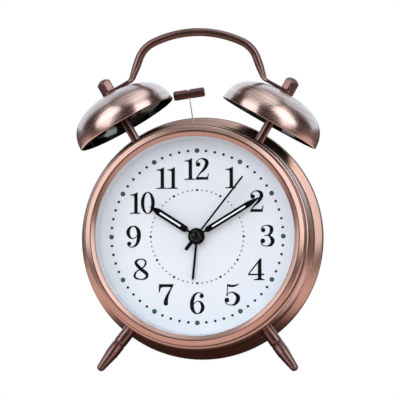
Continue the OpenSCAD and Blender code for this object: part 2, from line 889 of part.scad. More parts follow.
// The board carries one round blob of resin over its chip
module circuit_board() {
    corner = [-25, -28];
    size = [14, 30];
    board_t = 0.9;
    blob_r = 3;
    color([0.1, 0.35, 0.2]) slab(board_y, board_t) translate(corner) square(size);
    color(black) bar(corner + [7, 10], blob_r, board_y - 0.8, board_y + 0.1);
}

module quartz_crystal() {
    can_r = 0.85;
    can_len = 7;
    color(steel) translate([-14, board_y - can_r - 0.05, -9]) cylinder(r = can_r, h = can_len);
}

// The stator's sheet runs round the rotor and down through the coil
module stator() {
    ring_r = 4.5;
    hole_r = 3.2;
    arm = [23.5, 3];
    color(steel) slab(stator_y, stator_t) difference() {
        union() {
            translate(rotor_at) circle(r = ring_r);
            translate(rotor_at - [0, arm[1] / 2]) square(arm);
            translate([coil_x - core_w / 2, -8]) square([core_w, 24]);
        }
        translate(rotor_at) circle(r = hole_r);
    }
}

module stepper_coil() {
    coil_r = 3;
    coil_len = 16;
    slot = [core_w + 0.2, stator_t + 0.2, coil_len + 2];
    color([0.7, 0.35, 0.15]) translate([coil_x, stator_y + stator_t / 2, 3]) difference() {
        cylinder(r = coil_r, h = coil_len, center = true);
        cube(slot, center = true);
    }
}

module rotor() {
    color(steel) {
        bar(rotor_at, 2.6, magnet_y[0], magnet_y[0] + magnet_y[1]);
        bar(rotor_at, pivot_r, move_y[0] + 0.5, pivot_end);
        pinion(rotor_at, 8, rotor_module, inter_y, 270);
    }
}

module intermediate_wheel() {
    color(brass) {
        bar(inter_at, pivot_r, 0.9, pivot_end);
        pinion(inter_at, 10, 2 * inter_d / 70, second_y, 270);
        wheel(inter_at, 40, rotor_module, inter_y, 90);
    }
}

module second_wheel() {
    color(brass) {
        bar([0, 0], second_arbor_r, second_hand_y - 0.3, pivot_end);
        pinion([0, 0], 8, 2 * third_d / 72, third_y, 270);
        wheel([0, 0], 60, 2 * inter_d / 70, second_y, 90);
    }
}

module third_wheel() {
    color(brass) {
        bar(third_at, pivot_r, move_y[0] + 0.5, pivot_end);
        pinion(third_at, 8, 2 * third_d / 68, centre_y, 90);
        wheel(third_at, 64, 2 * third_d / 72, third_y, 90);
    }
}

module centre_wheel() {
    color(brass) difference() {
        wheel([0, 0], 60, 2 * third_d / 68, centre_y, 270);
        bar([0, 0], minute_pipe_r + running, 5, 8);
    }
}

module cannon_pinion() {
    color(brass) difference() {
        union() {
            bar([0, 0], minute_pipe_r, minute_hand_y - 0.2, 7.2);
            pinion([0, 0], 10, 2 * motion_d / 40, motion_y, 150);
        }
        bar([0, 0], second_arbor_r + running, minute_hand_y - 1, 8);
    }
}

module minute_wheel() {
    color(brass) {
        bar(minute_wheel_at, pivot_r, move_y[0] + 0.5, pivot_end);
        pinion(minute_wheel_at, 10, 2 * motion_d / 50, hour_y, 330);
        wheel(minute_wheel_at, 30, 2 * motion_d / 40, motion_y, 330);
    }
}

module hour_wheel() {
    color(brass) difference() {
        union() {
            bar([0, 0], hour_pipe_r, hour_hand_y - 0.2, hour_y[0] + 0.1);
            wheel([0, 0], 40, 2 * motion_d / 50, hour_y, 150);
        }
        bar([0, 0], minute_pipe_r + running, hour_hand_y - 1, 5);
    }
}

module alarm_wheel() {
    color(brass) difference() {
        union() {
            bar([0, 0], alarm_pipe_r, alarm_hand_y - 0.1, alarm_y[0] + 0.1);
            wheel([0, 0], 40, 2 * motion_d / 50, alarm_y, 30);
        }
        bar([0, 0], hour_pipe_r + running, alarm_hand_y - 1, 4);
    }
}

// A setting arbor: pinion, shaft through the back plate and a thin front pivot
module setting_arbor(at, m, y, dir) {
    bar(at, pivot_r, move_y[0] + 0.5, y[0]);
    bar(at, arbor_r, y[0], knob_back - 1.4);
    pinion(at, 10, m, y, dir);
}

module time_arbor() {
    color(steel) setting_arbor(time_at, 2 * motion_d / 40, motion_y, 330);
}

module alarm_arbor() {
    color(steel) setting_arbor(alarm_arbor_at, 2 * motion_d / 50, alarm_y, 210);
}

// A fluted knob on the end of a setting arbor
module knob(at) {
    flutes = 20;
    flute_r = 0.6;
    flute_y = cover_back + 1.4;
    color(black) difference() {
        bar(at, knob_r, cover_back + 0.5, knob_back);
        for (i = [0 : flutes - 1])
            bar(at + polar(knob_r + flute_r / 2, i * 360 / flutes), flute_r, flute_y, knob_back + 1);
        bar(at, arbor_r + hub_gap, cover_back, knob_back - 1.3);
    }
}

module time_knob() {
    knob(time_at);
}

module alarm_knob() {
    knob(alarm_arbor_at);
}

// ---- Back cover, battery box and switch ----

module back_cover() {
    box_height = box_top - box_bottom;
    recess_height = box_height + 2 * door_lap + door_travel + 0.3;
    color(black) difference() {
        union() {
            lathe() polygon(concat(
                [[0, cover_y], [flange_r, cover_y]],
                arc([edge_r, edge_y], flange_edge, 0, 90, 6),
                [[plate_r + 1, cover_y + flange_t], [plate_r, cover_back], [0, cover_back]]
            ));
            lathe() translate([spigot_r - spigot_t, cover_y - spigot_len])
                square([spigot_t, spigot_len + 0.5]);
            translate([-box_x - box_wall, box_floor - box_wall, box_bottom - box_wall]) cube([
                2 * (box_x + box_wall),
                cover_y - box_floor + box_wall + 0.5,
                box_height + 2 * box_wall
            ]);
        }
        translate([-box_x, box_floor, box_bottom]) cube([2 * box_x, 30, box_height]);
        translate([-door_x - 0.3, cover_back - door_t - 0.1, box_bottom - door_lap - 0.3])
            cube([2 * door_x + 0.6, 5, recess_height]);
        translate([-door_x - rail - 0.3, cover_back - 1.3, box_bottom - door_lap - 0.3])
            cube([2 * (door_x + rail) + 0.6, 0.7, recess_height]);
        for (a = pillar_angles) screw_hole(polar(pillar_d, a));
        for (p = bracket_posts) screw_hole(p);
        for (p = [time_at, alarm_arbor_at]) bar(p, arbor_r + 0.4, cover_y - 1, cover_back + 1);
        translate([switch_x - stem_w / 2 - 0.2, cover_y - 1, switch_z - 1.7])
            cube([stem_w + switch_travel + 0.4, 6, 3.4]);
    }
}

module screw_hole(at) {
    bar(at, screw_r + 0.15, cover_y - 1, cover_back + 1);
    bar(at, head_hole_r, cover_back - sink, cover_back + 1);
}

module cover_screws() {
    places = concat([for (a = pillar_angles) polar(pillar_d, a)], bracket_posts);
    color(steel) for (p = places)
        screw(p, screw_r, head_hole_r - 0.4, cover_y - 8, cover_back - sink + tiny, sink - 0.2);
}

module battery_door() {
    low = box_bottom - door_lap;
    height = box_top - box_bottom + 2 * door_lap;
    rail_y = cover_back - 1.2;
    grip_w = 12;
    grip_step = 1.6;
    color(black) difference() {
        union() {
            translate([-door_x, cover_back - door_t, low]) cube([2 * door_x, door_t, height]);
            translate([-door_x - rail, rail_y, low + 2]) cube([2 * (door_x + rail), 0.5, height - 4]);
        }
        for (i = [0 : 4]) translate([-grip_w / 2, cover_back - 0.5, low + height - 4 - i * grip_step])
            cube([grip_w, 1, grip_step / 2]);
    }
}

module battery_cell(i) {
    nub_r = 2.7;
    nub_h = 1.2;
    color([0.2, 0.3, 0.35]) translate([0, cell_y, cell_z[i]]) rotate([0, 90 + 180 * i, 0])
        translate([0, 0, -cell_len / 2]) {
            cylinder(r = cell_r, h = cell_len);
            cylinder(r = nub_r, h = cell_len + nub_h);
        }
}

module battery_cell_upper() {
    battery_cell(0);
}

module battery_cell_lower() {
    battery_cell(1);
}

// One spring and one plate at each end of the box
module battery_contacts() {
    plate_w = 10;
    plate_y = box_x - 0.5;
    coils = 4;
    coil_gap = (box_x - cell_len / 2 - 0.6) / (coils + 0.4);
    color(steel) for (i = [0, 1]) for (end = [-1, 1])
        translate([0, cell_y, cell_z[i]]) rotate([0, end * 90, 0]) {
            translate([-plate_w / 2, -plate_w / 2, plate_y]) cube([plate_w, plate_w, 0.4]);
            if (end == 2 * i - 1)
                for (k = [1 : coils]) translate([0, 0, plate_y - coil_gap * k]) rotate_extrude()
                    translate([4.8 - 0.6 * k, 0]) circle(r = 0.3, $fn = 16);
        }
}

module alarm_switch() {
    stem_h = 3;
    inner = [stem_w + 2, 1.2, 5.6];
    outer = [stem_w + 1.2, 1.6, 4.4];
    color(black) translate([switch_x, 0, switch_z]) {
        translate([-stem_w / 2, cover_y - 0.4, -stem_h / 2]) cube([stem_w, cover_t + 1, stem_h]);
        translate([-inner[0] / 2, cover_y - 1.4, -inner[2] / 2]) cube(inner);
        translate([-outer[0] / 2, cover_back + 0.3, -outer[2] / 2]) cube(outer);
    }
}

posed() case_drum();
posed() bezel_ring();
posed() glass_lens();
posed() dial_ring();
posed() dial_plate();
posed() inner_frame();
posed() bell(-1);  // bell_left
posed() bell(1);  // bell_right
posed() bell_post(-1);  // bell_post_left
posed() bell_post(1);  // bell_post_right
posed() post_nuts();
posed() cap_nut(-1);  // cap_nut_left
posed() cap_nut(1);  // cap_nut_right
posed() handle();
posed() leg(-1);  // leg_left
posed() leg(1);  // leg_right
posed() leg_nuts();
posed() hammer_head();
posed() hammer_wire();
posed() hammer_arm();
posed() hammer_pivot();
posed() striker_bracket();
posed() striker_motor();
posed() striker_cam();
posed() hour_hand();
posed() minute_hand();
posed() second_hand();
posed() alarm_hand();
posed() hand_cap();
posed() movement_front();
posed() movement_back();
posed() movement_screws();
posed() circuit_board();
posed() quartz_crystal();
posed() stepper_coil();
posed() stator();
posed() rotor();
posed() intermediate_wheel();
posed() second_wheel();
posed() third_wheel();
posed() centre_wheel();
posed() cannon_pinion();
posed() minute_wheel();
posed() hour_wheel();
posed() alarm_wheel();
posed() time_arbor();
posed() alarm_arbor();
posed() time_knob();
posed() alarm_knob();
posed() back_cover();
posed() cover_screws();
posed() battery_door();
posed() battery_cell_upper();
posed() battery_cell_lower();
posed() battery_contacts();
posed() alarm_switch();
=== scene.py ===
"""Looks of the twin-bell alarm clock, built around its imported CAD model."""
import json
import math

import bmesh
import bpy
from mathutils import Matrix, Vector


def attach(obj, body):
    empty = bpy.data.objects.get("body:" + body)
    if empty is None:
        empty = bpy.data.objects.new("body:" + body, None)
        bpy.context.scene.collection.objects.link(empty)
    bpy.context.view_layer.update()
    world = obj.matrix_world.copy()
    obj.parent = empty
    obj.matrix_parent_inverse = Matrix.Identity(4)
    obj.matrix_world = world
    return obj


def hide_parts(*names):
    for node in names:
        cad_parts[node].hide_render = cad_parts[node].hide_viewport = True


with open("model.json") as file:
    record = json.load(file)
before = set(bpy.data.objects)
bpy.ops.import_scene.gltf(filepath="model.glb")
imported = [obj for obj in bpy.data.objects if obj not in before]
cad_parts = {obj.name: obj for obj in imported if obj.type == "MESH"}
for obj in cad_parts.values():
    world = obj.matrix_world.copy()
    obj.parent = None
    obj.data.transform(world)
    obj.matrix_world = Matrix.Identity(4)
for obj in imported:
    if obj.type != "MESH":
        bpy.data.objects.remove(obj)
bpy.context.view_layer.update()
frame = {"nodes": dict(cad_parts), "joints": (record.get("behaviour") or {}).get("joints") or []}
NODES = frame["nodes"]
MM = 0.001

# ---- The clock's own frame: the dial's centre is the origin, X right, Y rear, Z up, in mm ----

TURN = next(joint for joint in frame["joints"] if joint["name"] == "minute_hand_turn")
JOINT_DEPTH = 7.0
REAR = Vector(TURN["axis"]).normalized()
UP = Vector((1, 0, 0)).cross(REAR)
DIAL_CENTRE = Vector(TURN["pos_m"]) - JOINT_DEPTH * MM * REAR
CLOCK = Matrix.Translation(DIAL_CENTRE) @ Matrix((
    (1, REAR.x, UP.x, 0),
    (0, REAR.y, UP.y, 0),
    (0, REAR.z, UP.z, 0),
    (0, 0, 0, 1),
))


def clock_box(node):
    """Lowest and highest corner of a CAD node in the clock's frame, in mm."""
    inverse = CLOCK.inverted()
    points = [(inverse @ vertex.co) / MM for vertex in NODES[node].data.vertices]
    low = Vector([min(point[i] for point in points) for i in range(3)])
    high = Vector([max(point[i] for point in points) for i in range(3)])
    return low, high


def at(x, y, z):
    """A shift in the clock's frame, in mm."""
    return Matrix.Translation(Vector((x, y, z)) * MM)


def turn(degrees, axis):
    return Matrix.Rotation(math.radians(degrees), 4, axis)


# ---- Driving sizes in mm, repeated from the CAD source or read from its nodes ----

MID_Y = 6.0
BELL_ANGLE = 32.2
BELL_TILT = 29.6
BELL_RIM_D = 64.9
BELL_R = 25.7
BELL_H = 16.9
BELL_WALL = 1.0
BELL_POWER = 2.4
CASE_R = 54.6
RIM_R = clock_box("case_drum")[1].x
DRUM_FRONT = clock_box("case_drum")[0].y
DRUM_BACK = clock_box("case_drum")[1].y
WAIST_R = 55.4
FLANGE_TURN = 60.0
FILLET_R = 1.2
SHOULDER_R = 1.6
LIP_R = 0.8
SHEET_T = 0.8
VIEW_R = 47.7
CROWN_R = 2.6
CROWN_PEAK = 2.3
CROWN_INSIDE = 34
CROWN_OUTSIDE = 25
CROWN_RIDGE = 1.0
CROWN_LIP = 0.8
CROWN_EDGE = 1.4
BEZEL_R = clock_box("bezel_ring")[1].x
BEZEL_FRONT, BEZEL_BACK = (corner.y for corner in clock_box("bezel_ring"))
BEZEL_T = 0.7
TAB_T = 1.6
CAP_H = 6.5
CAP_R = 3.9
LEG_ANGLE = 36.5
LEG_TILT = 16.4
LEG_LEN = 26.6
LEG_R = 3.15
LEG_TIP_R = 2.0
HOUR_AT = 302.7
MINUTE_AT = 58.5
SECOND_AT = 38.0
ALARM_AT = 185.6


def face_axis():
    """The dial's axis, from the front to the rear, as +Z."""
    return CLOCK @ turn(-90, "X")


def bell_axis(side, above=0.0):
    """A bell's axis as +Z, from a height above its rim."""
    rim = CLOCK @ turn(side * BELL_ANGLE, "Y") @ at(0, MID_Y, BELL_RIM_D)
    return rim @ turn(side * (BELL_TILT - BELL_ANGLE), "Y") @ at(0, 0, above)


# ---- Outlines ----

def arc(centre, radius, start, end, steps):
    """Points on an arc, angles in degrees."""
    points = []
    for i in range(steps + 1):
        a = math.radians(start + (end - start) * i / steps)
        points.append((centre[0] + radius * math.cos(a), centre[1] + radius * math.sin(a)))
    return points


def quarter(radius, height, power, steps=40):
    """One quarter of a rounded square, from the rim to the top."""
    points = []
    for i in range(steps + 1):
        a = math.pi / 2 * i / steps
        points.append((radius * math.cos(a) ** (2 / power), height * math.sin(a) ** (2 / power)))
    return points


# ---- Mesh makers ----

WELD = 0.0005 * MM

# From these angles between faces, in degrees, an edge is shaded sharp or gets a bevel
SHARP = 35.0
BEVELLED = 40.0


def mesh_of(name, vertices, faces):
    """A mesh from points in mm."""
    mesh = bpy.data.meshes.new(name)
    mesh.from_pydata([Vector(v) * MM for v in vertices], [], faces)
    return mesh


def tidy(mesh, sharp_angle=SHARP):
    """Welds, points the faces outwards and marks the sharp edges."""
    bm = bmesh.new()
    bm.from_mesh(mesh)
    bmesh.ops.remove_doubles(bm, verts=bm.verts, dist=WELD)
    bmesh.ops.recalc_face_normals(bm, faces=bm.faces)
    bm.to_mesh(mesh)
    bm.free()
    mesh.polygons.foreach_set("use_smooth", [True] * len(mesh.polygons))
    mesh.set_sharp_from_angle(angle=math.radians(sharp_angle))
    return mesh


def revolve(name, outline, steps=192):
    """Turns a closed outline of (radius, height) about Z."""
    vertices = []
    faces = []
    rows = len(outline)
    for i in range(steps):
        a = 2 * math.pi * i / steps
        for r, z in outline:
            vertices.append((max(r, 0) * math.cos(a), max(r, 0) * math.sin(a), z))
    for i in range(steps):
        after = (i + 1) % steps
        for k in range(rows):
            below = (k + 1) % rows
            faces.append((i * rows + k, after * rows + k, after * rows + below, i * rows + below))
    mesh = mesh_of(name, vertices, faces)
    bm = bmesh.new()
    bm.from_mesh(mesh)
    bmesh.ops.remove_doubles(bm, verts=bm.verts, dist=WELD)
    bmesh.ops.dissolve_degenerate(bm, edges=bm.edges, dist=WELD / 5)
    bm.to_mesh(mesh)
    bm.free()
    return tidy(mesh)


def linked(name, data):
    """A new object in the scene."""
    made = bpy.data.objects.new(name, data)
    bpy.context.scene.collection.objects.link(made)
    return made


def applied(piece, modifier):
    """Bakes a modifier into its piece's mesh."""
    bpy.context.view_layer.objects.active = piece
    bpy.ops.object.modifier_apply(modifier=modifier.name)


def boolean(piece, tool, operation):
    """Joins a tool to a piece or cuts it out, and removes the tool."""
    modifier = piece.modifiers.new("join", "BOOLEAN")
    modifier.object = tool
    modifier.operation = operation
    modifier.solver = "EXACT"
    applied(piece, modifier)
    bpy.data.objects.remove(tool)


def soften(piece, width, by="ANGLE"):
    """Rounds the sharp edges."""
    modifier = piece.modifiers.new("edge", "BEVEL")
    modifier.width = width * MM
    modifier.segments = 2
    modifier.limit_method = by
    modifier.angle_limit = math.radians(BEVELLED)
    modifier.use_clamp_overlap = True
    applied(piece, modifier)


def thing(name, mesh, place, body, material, replaced=()):
    """Puts a mesh in the scene as a piece that rides on a body."""
    piece = linked(name, mesh)
    piece.matrix_world = place
    piece.data.materials.append(material)
    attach(piece, body)
    if replaced:
        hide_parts(*replaced)
    return piece


# ---- Materials ----

def nodes_of(name):
    material = bpy.data.materials.new(name)
    material.use_nodes = True
    tree = material.node_tree
    return material, tree, tree.nodes["Principled BSDF"]


def link(tree, source, target):
    tree.links.new(source, target)


def math_node(tree, operation, *values):
    """One step of arithmetic on numbers or outputs."""
    node = tree.nodes.new("ShaderNodeMath")
    node.operation = operation
    for i, value in enumerate(values):
        if isinstance(value, (int, float)):
            node.inputs[i].default_value = value
        else:
            link(tree, value, node.inputs[i])
    return node.outputs["Value"]


def noise(tree, scale, detail):
    """Noise in the piece's own metres."""
    where = tree.nodes.new("ShaderNodeTexCoord")
    texture = tree.nodes.new("ShaderNodeTexNoise")
    texture.inputs["Scale"].default_value = scale
    texture.inputs["Detail"].default_value = detail
    link(tree, where.outputs["Object"], texture.inputs["Vector"])
    return texture.outputs["Fac"]


def turned_grain(tree, scale, along):
    """Noise in rings about the piece's own Z: fine across the rings, long along them."""
    where = tree.nodes.new("ShaderNodeTexCoord")
    split = tree.nodes.new("ShaderNodeSeparateXYZ")
    link(tree, where.outputs["Object"], split.inputs["Vector"])
    radius = tree.nodes.new("ShaderNodeVectorMath")
    radius.operation = "LENGTH"
    flat = tree.nodes.new("ShaderNodeCombineXYZ")
    link(tree, split.outputs["X"], flat.inputs["X"])
    link(tree, split.outputs["Y"], flat.inputs["Y"])
    link(tree, flat.outputs["Vector"], radius.inputs[0])
    mapping = tree.nodes.new("ShaderNodeMapping")
    mapping.inputs["Scale"].default_value = (along, along, 0)
    link(tree, where.outputs["Object"], mapping.inputs["Vector"])
    shift = tree.nodes.new("ShaderNodeCombineXYZ")
    link(tree, radius.outputs["Value"], shift.inputs["X"])
    link(tree, split.outputs["Z"], shift.inputs["Z"])
    add = tree.nodes.new("ShaderNodeVectorMath")
    add.operation = "ADD"
    link(tree, mapping.outputs["Vector"], add.inputs[0])
    link(tree, shift.outputs["Vector"], add.inputs[1])
    texture = tree.nodes.new("ShaderNodeTexNoise")
    texture.inputs["Scale"].default_value = scale
    texture.inputs["Detail"].default_value = 4
    link(tree, add.outputs["Vector"], texture.inputs["Vector"])
    return texture.outputs["Fac"]


def spread(tree, value, low, high):
    """Maps the usual range of a noise to low…high."""
    node = tree.nodes.new("ShaderNodeMapRange")
    node.inputs["From Min"].default_value = 0.3
    node.inputs["From Max"].default_value = 0.7
    node.inputs["To Min"].default_value = low
    node.inputs["To Max"].default_value = high
    link(tree, value, node.inputs["Value"])
    return node.outputs["Result"]


def blend_colours(tree, value, first, second):
    """Two colours that run into each other in patches."""
    ramp = tree.nodes.new("ShaderNodeValToRGB")
    ramp.color_ramp.elements[0].position = 0.35
    ramp.color_ramp.elements[1].position = 0.65
    ramp.color_ramp.elements[0].color = (*first, 1)
    ramp.color_ramp.elements[1].color = (*second, 1)
    link(tree, value, ramp.inputs["Fac"])
    return ramp.outputs["Color"]


def bump(tree, shader, height, distance):
    """Relief, with its height in mm."""
    node = tree.nodes.new("ShaderNodeBump")
    node.inputs["Strength"].default_value = 1
    node.inputs["Distance"].default_value = distance * MM
    link(tree, height, node.inputs["Height"])
    link(tree, node.outputs["Normal"], shader.inputs["Normal"])


def turned_metal(name, first, second, rough, anisotropy, scratch, along):
    """Metal brushed in rings about the piece's own Z; along is small for long streaks."""
    material, tree, shader = nodes_of(name)
    shader.inputs["Metallic"].default_value = 1
    shader.inputs["Anisotropic"].default_value = anisotropy
    shader.inputs["Anisotropic Rotation"].default_value = 0.25
    tangent = tree.nodes.new("ShaderNodeTangent")
    tangent.direction_type = "RADIAL"
    tangent.axis = "Z"
    link(tree, tangent.outputs["Tangent"], shader.inputs["Tangent"])
    grain = turned_grain(tree, 1300, 0.004)
    broad = turned_grain(tree, 900, along)
    link(tree, blend_colours(tree, broad, first, second), shader.inputs["Base Color"])
    link(tree, spread(tree, grain, *rough), shader.inputs["Roughness"])
    bump(tree, shader, grain, scratch)
    return material


def metal(name, first, second, rough, scratch=0.004):
    """Metal with fine, uneven polish."""
    material, tree, shader = nodes_of(name)
    shader.inputs["Metallic"].default_value = 1
    grain = noise(tree, 900, 4)
    broad = noise(tree, 120, 3)
    link(tree, blend_colours(tree, broad, first, second), shader.inputs["Base Color"])
    link(tree, spread(tree, grain, *rough), shader.inputs["Roughness"])
    bump(tree, shader, grain, scratch)
    return material


def plastic(name, first, second, rough, scale=1500, relief=0.01, coat=0.0, level=0.5):
    """Moulded or painted surface; level is how much its gloss mirrors."""
    material, tree, shader = nodes_of(name)
    grain = noise(tree, scale, 5)
    broad = noise(tree, 60, 2)
    shader.inputs["Coat Weight"].default_value = coat
    shader.inputs["Specular IOR Level"].default_value = level
    shader.inputs["Coat Roughness"].default_value = 0.05
    link(tree, blend_colours(tree, broad, first, second), shader.inputs["Base Color"])
    link(tree, spread(tree, grain, *rough), shader.inputs["Roughness"])
    bump(tree, shader, grain, relief)
    return material


def clear_glass():
    """A thin sheet: it lets light straight through and mirrors a little, more at a slant."""
    head_on = 0.017
    material, tree, shader = nodes_of("lens_glass")
    tree.nodes.remove(shader)
    clear = tree.nodes.new("ShaderNodeBsdfTransparent")
    mirror = tree.nodes.new("ShaderNodeBsdfGlossy")
    mix = tree.nodes.new("ShaderNodeMixShader")
    slant = tree.nodes.new("ShaderNodeLayerWeight")
    slant.inputs["Blend"].default_value = 0.5
    steep = math_node(tree, "POWER", slant.outputs["Facing"], 5)
    share = math_node(tree, "MULTIPLY_ADD", steep, 1 - head_on, head_on)
    mirror.inputs["Roughness"].default_value = 0.03
    tint = noise(tree, 40, 2)
    link(tree, blend_colours(tree, tint, (0.985, 0.995, 1.0), (0.99, 1.0, 1.0)), clear.inputs["Color"])
    link(tree, share, mix.inputs["Fac"])
    link(tree, clear.outputs["BSDF"], mix.inputs[1])
    link(tree, mirror.outputs["BSDF"], mix.inputs[2])
    link(tree, mix.outputs["Shader"], tree.nodes["Material Output"].inputs["Surface"])
    return material


COPPER = turned_metal(
    "copper_plate", (0.47, 0.28, 0.225), (0.54, 0.33, 0.27), (0.24, 0.32),
    anisotropy=0.5, scratch=0.0003, along=0.05,
)
BELL_COPPER = turned_metal(
    "brushed_copper", (0.53, 0.345, 0.30), (0.77, 0.53, 0.47), (0.24, 0.29),
    anisotropy=0.7, scratch=0.0001, along=0.004,
)
# Near-black glossy metal that lines the inside of the bells
BELL_INSIDE = metal(
    "bell_near_black_inside", (0.055, 0.058, 0.055), (0.08, 0.084, 0.08), (0.06, 0.1), scratch=0.0002,
)
BROWN = metal("brown_copper", (0.22, 0.122, 0.108), (0.28, 0.157, 0.14), (0.28, 0.35), scratch=0.0002)
STEEL = metal("bright_steel", (0.6, 0.61, 0.63), (0.68, 0.69, 0.71), (0.2, 0.32))
BRASS = metal("brass", (0.72, 0.53, 0.24), (0.8, 0.6, 0.3), (0.2, 0.34))
COIL = metal("coil_copper", (0.6, 0.22, 0.08), (0.75, 0.3, 0.12), (0.25, 0.4))
GLASS = clear_glass()

WHITE_PLASTIC = plastic("white_plastic", (0.76, 0.79, 0.83), (0.8, 0.83, 0.87), (0.35, 0.5))
BLACK_PLASTIC = plastic(
    "black_plastic", (0.010, 0.010, 0.012), (0.016, 0.016, 0.018), (0.3, 0.5), scale=2600, relief=0.02,
)
DOOR_PLASTIC = plastic(
    "door_plastic", (0.012, 0.012, 0.014), (0.018, 0.018, 0.02), (0.24, 0.34), scale=1200, relief=0.006,
)
KNOB_PLASTIC = plastic(
    "knob_plastic", (0.006, 0.006, 0.007), (0.01, 0.01, 0.011), (0.12, 0.2), scale=900, relief=0.004,
)
BLACK_ENAMEL = plastic(
    "black_enamel", (0.0015, 0.0015, 0.002), (0.003, 0.003, 0.0035), (0.2, 0.3), level=0.35,
)
HUB_GLOSS = plastic(
    "hub_gloss", (0.001, 0.001, 0.0015), (0.002, 0.002, 0.0025), (0.2, 0.26), level=0.25,
)
GREEN_BOARD = plastic("green_board", (0.01, 0.1, 0.05), (0.015, 0.13, 0.06), (0.3, 0.4))
CELL = plastic("cell_label", (0.02, 0.09, 0.13), (0.03, 0.11, 0.15), (0.25, 0.35), coat=0.3)

DIAL_WHITE = plastic("dial_white", (0.79, 0.815, 0.88), (0.82, 0.845, 0.9), (0.5, 0.62), relief=0.003)
INK = plastic(
    "dial_ink", (0.0012, 0.0014, 0.002), (0.0025, 0.0028, 0.0035), (0.5, 0.6), relief=0.002, level=0.15,
)
DOT_GREEN = plastic("dot_green", (0.004, 0.05, 0.032), (0.006, 0.06, 0.04), (0.4, 0.5), relief=0.003)
DOT_HEART = plastic("dot_heart", (0.03, 0.14, 0.10), (0.04, 0.16, 0.12), (0.4, 0.5), relief=0.003)
LUME = plastic("luminous_paint", (0.9, 0.92, 0.93), (0.94, 0.96, 0.96), (0.5, 0.6), relief=0.004)

SLOTS = {
    "copper_plate": COPPER, "brushed_copper": BELL_COPPER, "brown_copper": BROWN,
    "bright_steel": STEEL, "brass": BRASS, "lens_glass": GLASS, "white_plastic": WHITE_PLASTIC,
    "dial_print": DIAL_WHITE, "black_plastic": BLACK_PLASTIC, "black_enamel": BLACK_ENAMEL,
    "green_board": GREEN_BOARD, "coil_copper": COIL, "cell_label": CELL,
}
for node in NODES.values():
    for holder in node.material_slots:
        holder.material = SLOTS[holder.material.name.split(".")[0]]


# ---- Case and bezel ----

def drum():
    """Sheet shell: round front edge, straight side, and a flange with a rolled lip at the rear."""
    slope = math.radians(FLANGE_TURN)
    lip_at = (RIM_R - LIP_R, DRUM_BACK - LIP_R)
    lip_start = (lip_at[0] + LIP_R * math.cos(slope), lip_at[1] - LIP_R * math.sin(slope))
    run = (lip_start[0] - WAIST_R - FILLET_R * (1 - math.cos(slope))) / math.tan(slope)
    fillet_at = (WAIST_R + FILLET_R, lip_start[1] - run - FILLET_R * math.sin(slope))
    outer = arc((CASE_R - SHOULDER_R, DRUM_FRONT + SHOULDER_R), SHOULDER_R, -90, 0, 12)
    outer += arc(fillet_at, FILLET_R, 180, 180 - FLANGE_TURN, 24)
    outer += arc(lip_at, LIP_R, -FLANGE_TURN, 90, 16)
    lip_inside = RIM_R - 2.6 * LIP_R
    inner = [(lip_inside, DRUM_BACK)]
    inner += arc(fillet_at, FILLET_R + SHEET_T, 180 - FLANGE_TURN, 180, 16)
    inner += [(CASE_R - SHEET_T, DRUM_FRONT + SHOULDER_R), (CASE_R - SHOULDER_R, DRUM_FRONT + SHEET_T)]
    mesh = revolve("case_shell", outer + inner, 256)
    piece = thing("case_shell", mesh, face_axis(), "case", COPPER, ["case_drum"])
    cut_slot(piece)


def cut_slot(piece):
    """Opens the hammer's slot in the top of the case."""
    slot_w = 7.2
    slot_d = 2.4
    cut_h = 8.0
    bpy.ops.mesh.primitive_cube_add(size=1)
    cutter = bpy.context.object
    size = Matrix.Diagonal((slot_w * MM, slot_d * MM, cut_h * MM, 1))
    cutter.matrix_world = CLOCK @ at(0, MID_Y, CASE_R) @ size
    boolean(piece, cutter, "DIFFERENCE")
    piece.data.set_sharp_from_angle(angle=math.radians(SHARP))


def crown_round(x, radius, facing):
    """Centre of a round edge at x whose flank, facing an angle, is level with the ridge's."""
    a = math.radians(facing)
    rise = (VIEW_R + CROWN_PEAK - x) * math.cos(a) + CROWN_RIDGE - radius
    return x, BEZEL_FRONT + CROWN_RIDGE + rise / math.sin(a)


def crown(depth, steps):
    """The bezel's crown in section, from its inner to its outer edge, at a depth below its surface."""
    inner = 270 - CROWN_INSIDE
    outer = 270 + CROWN_OUTSIDE
    lip = crown_round(VIEW_R + CROWN_LIP, CROWN_LIP, inner)
    ridge = (VIEW_R + CROWN_PEAK, BEZEL_FRONT + CROWN_RIDGE)
    edge = crown_round(BEZEL_R - CROWN_EDGE, CROWN_EDGE, outer)
    points = [(VIEW_R + depth, BEZEL_FRONT + CROWN_R)]
    points += arc(lip, CROWN_LIP - depth, 180, inner, steps)
    points += arc(ridge, CROWN_RIDGE - depth, inner, outer, steps)
    return points + arc(edge, CROWN_EDGE - depth, outer, 360, steps)


def bezel():
    """The front ring: its crown and a thin skirt behind it."""
    skirt = [(BEZEL_R, BEZEL_BACK), (BEZEL_R - BEZEL_T, BEZEL_BACK)]
    mesh = revolve("bezel_crown", crown(0, 20) + skirt + crown(BEZEL_T, 10)[::-1], 256)
    thing("bezel_crown", mesh, face_axis(), "case", COPPER, ["bezel_ring"])


# ---- Bells, cap nuts, legs and handle ----

BELL_HOLE_R = 1.6


def cup(radius, height, steps=40):
    """The bell's outline from its rim to its hole."""
    return [point for point in quarter(radius, height, BELL_POWER, steps) if point[0] > BELL_HOLE_R]


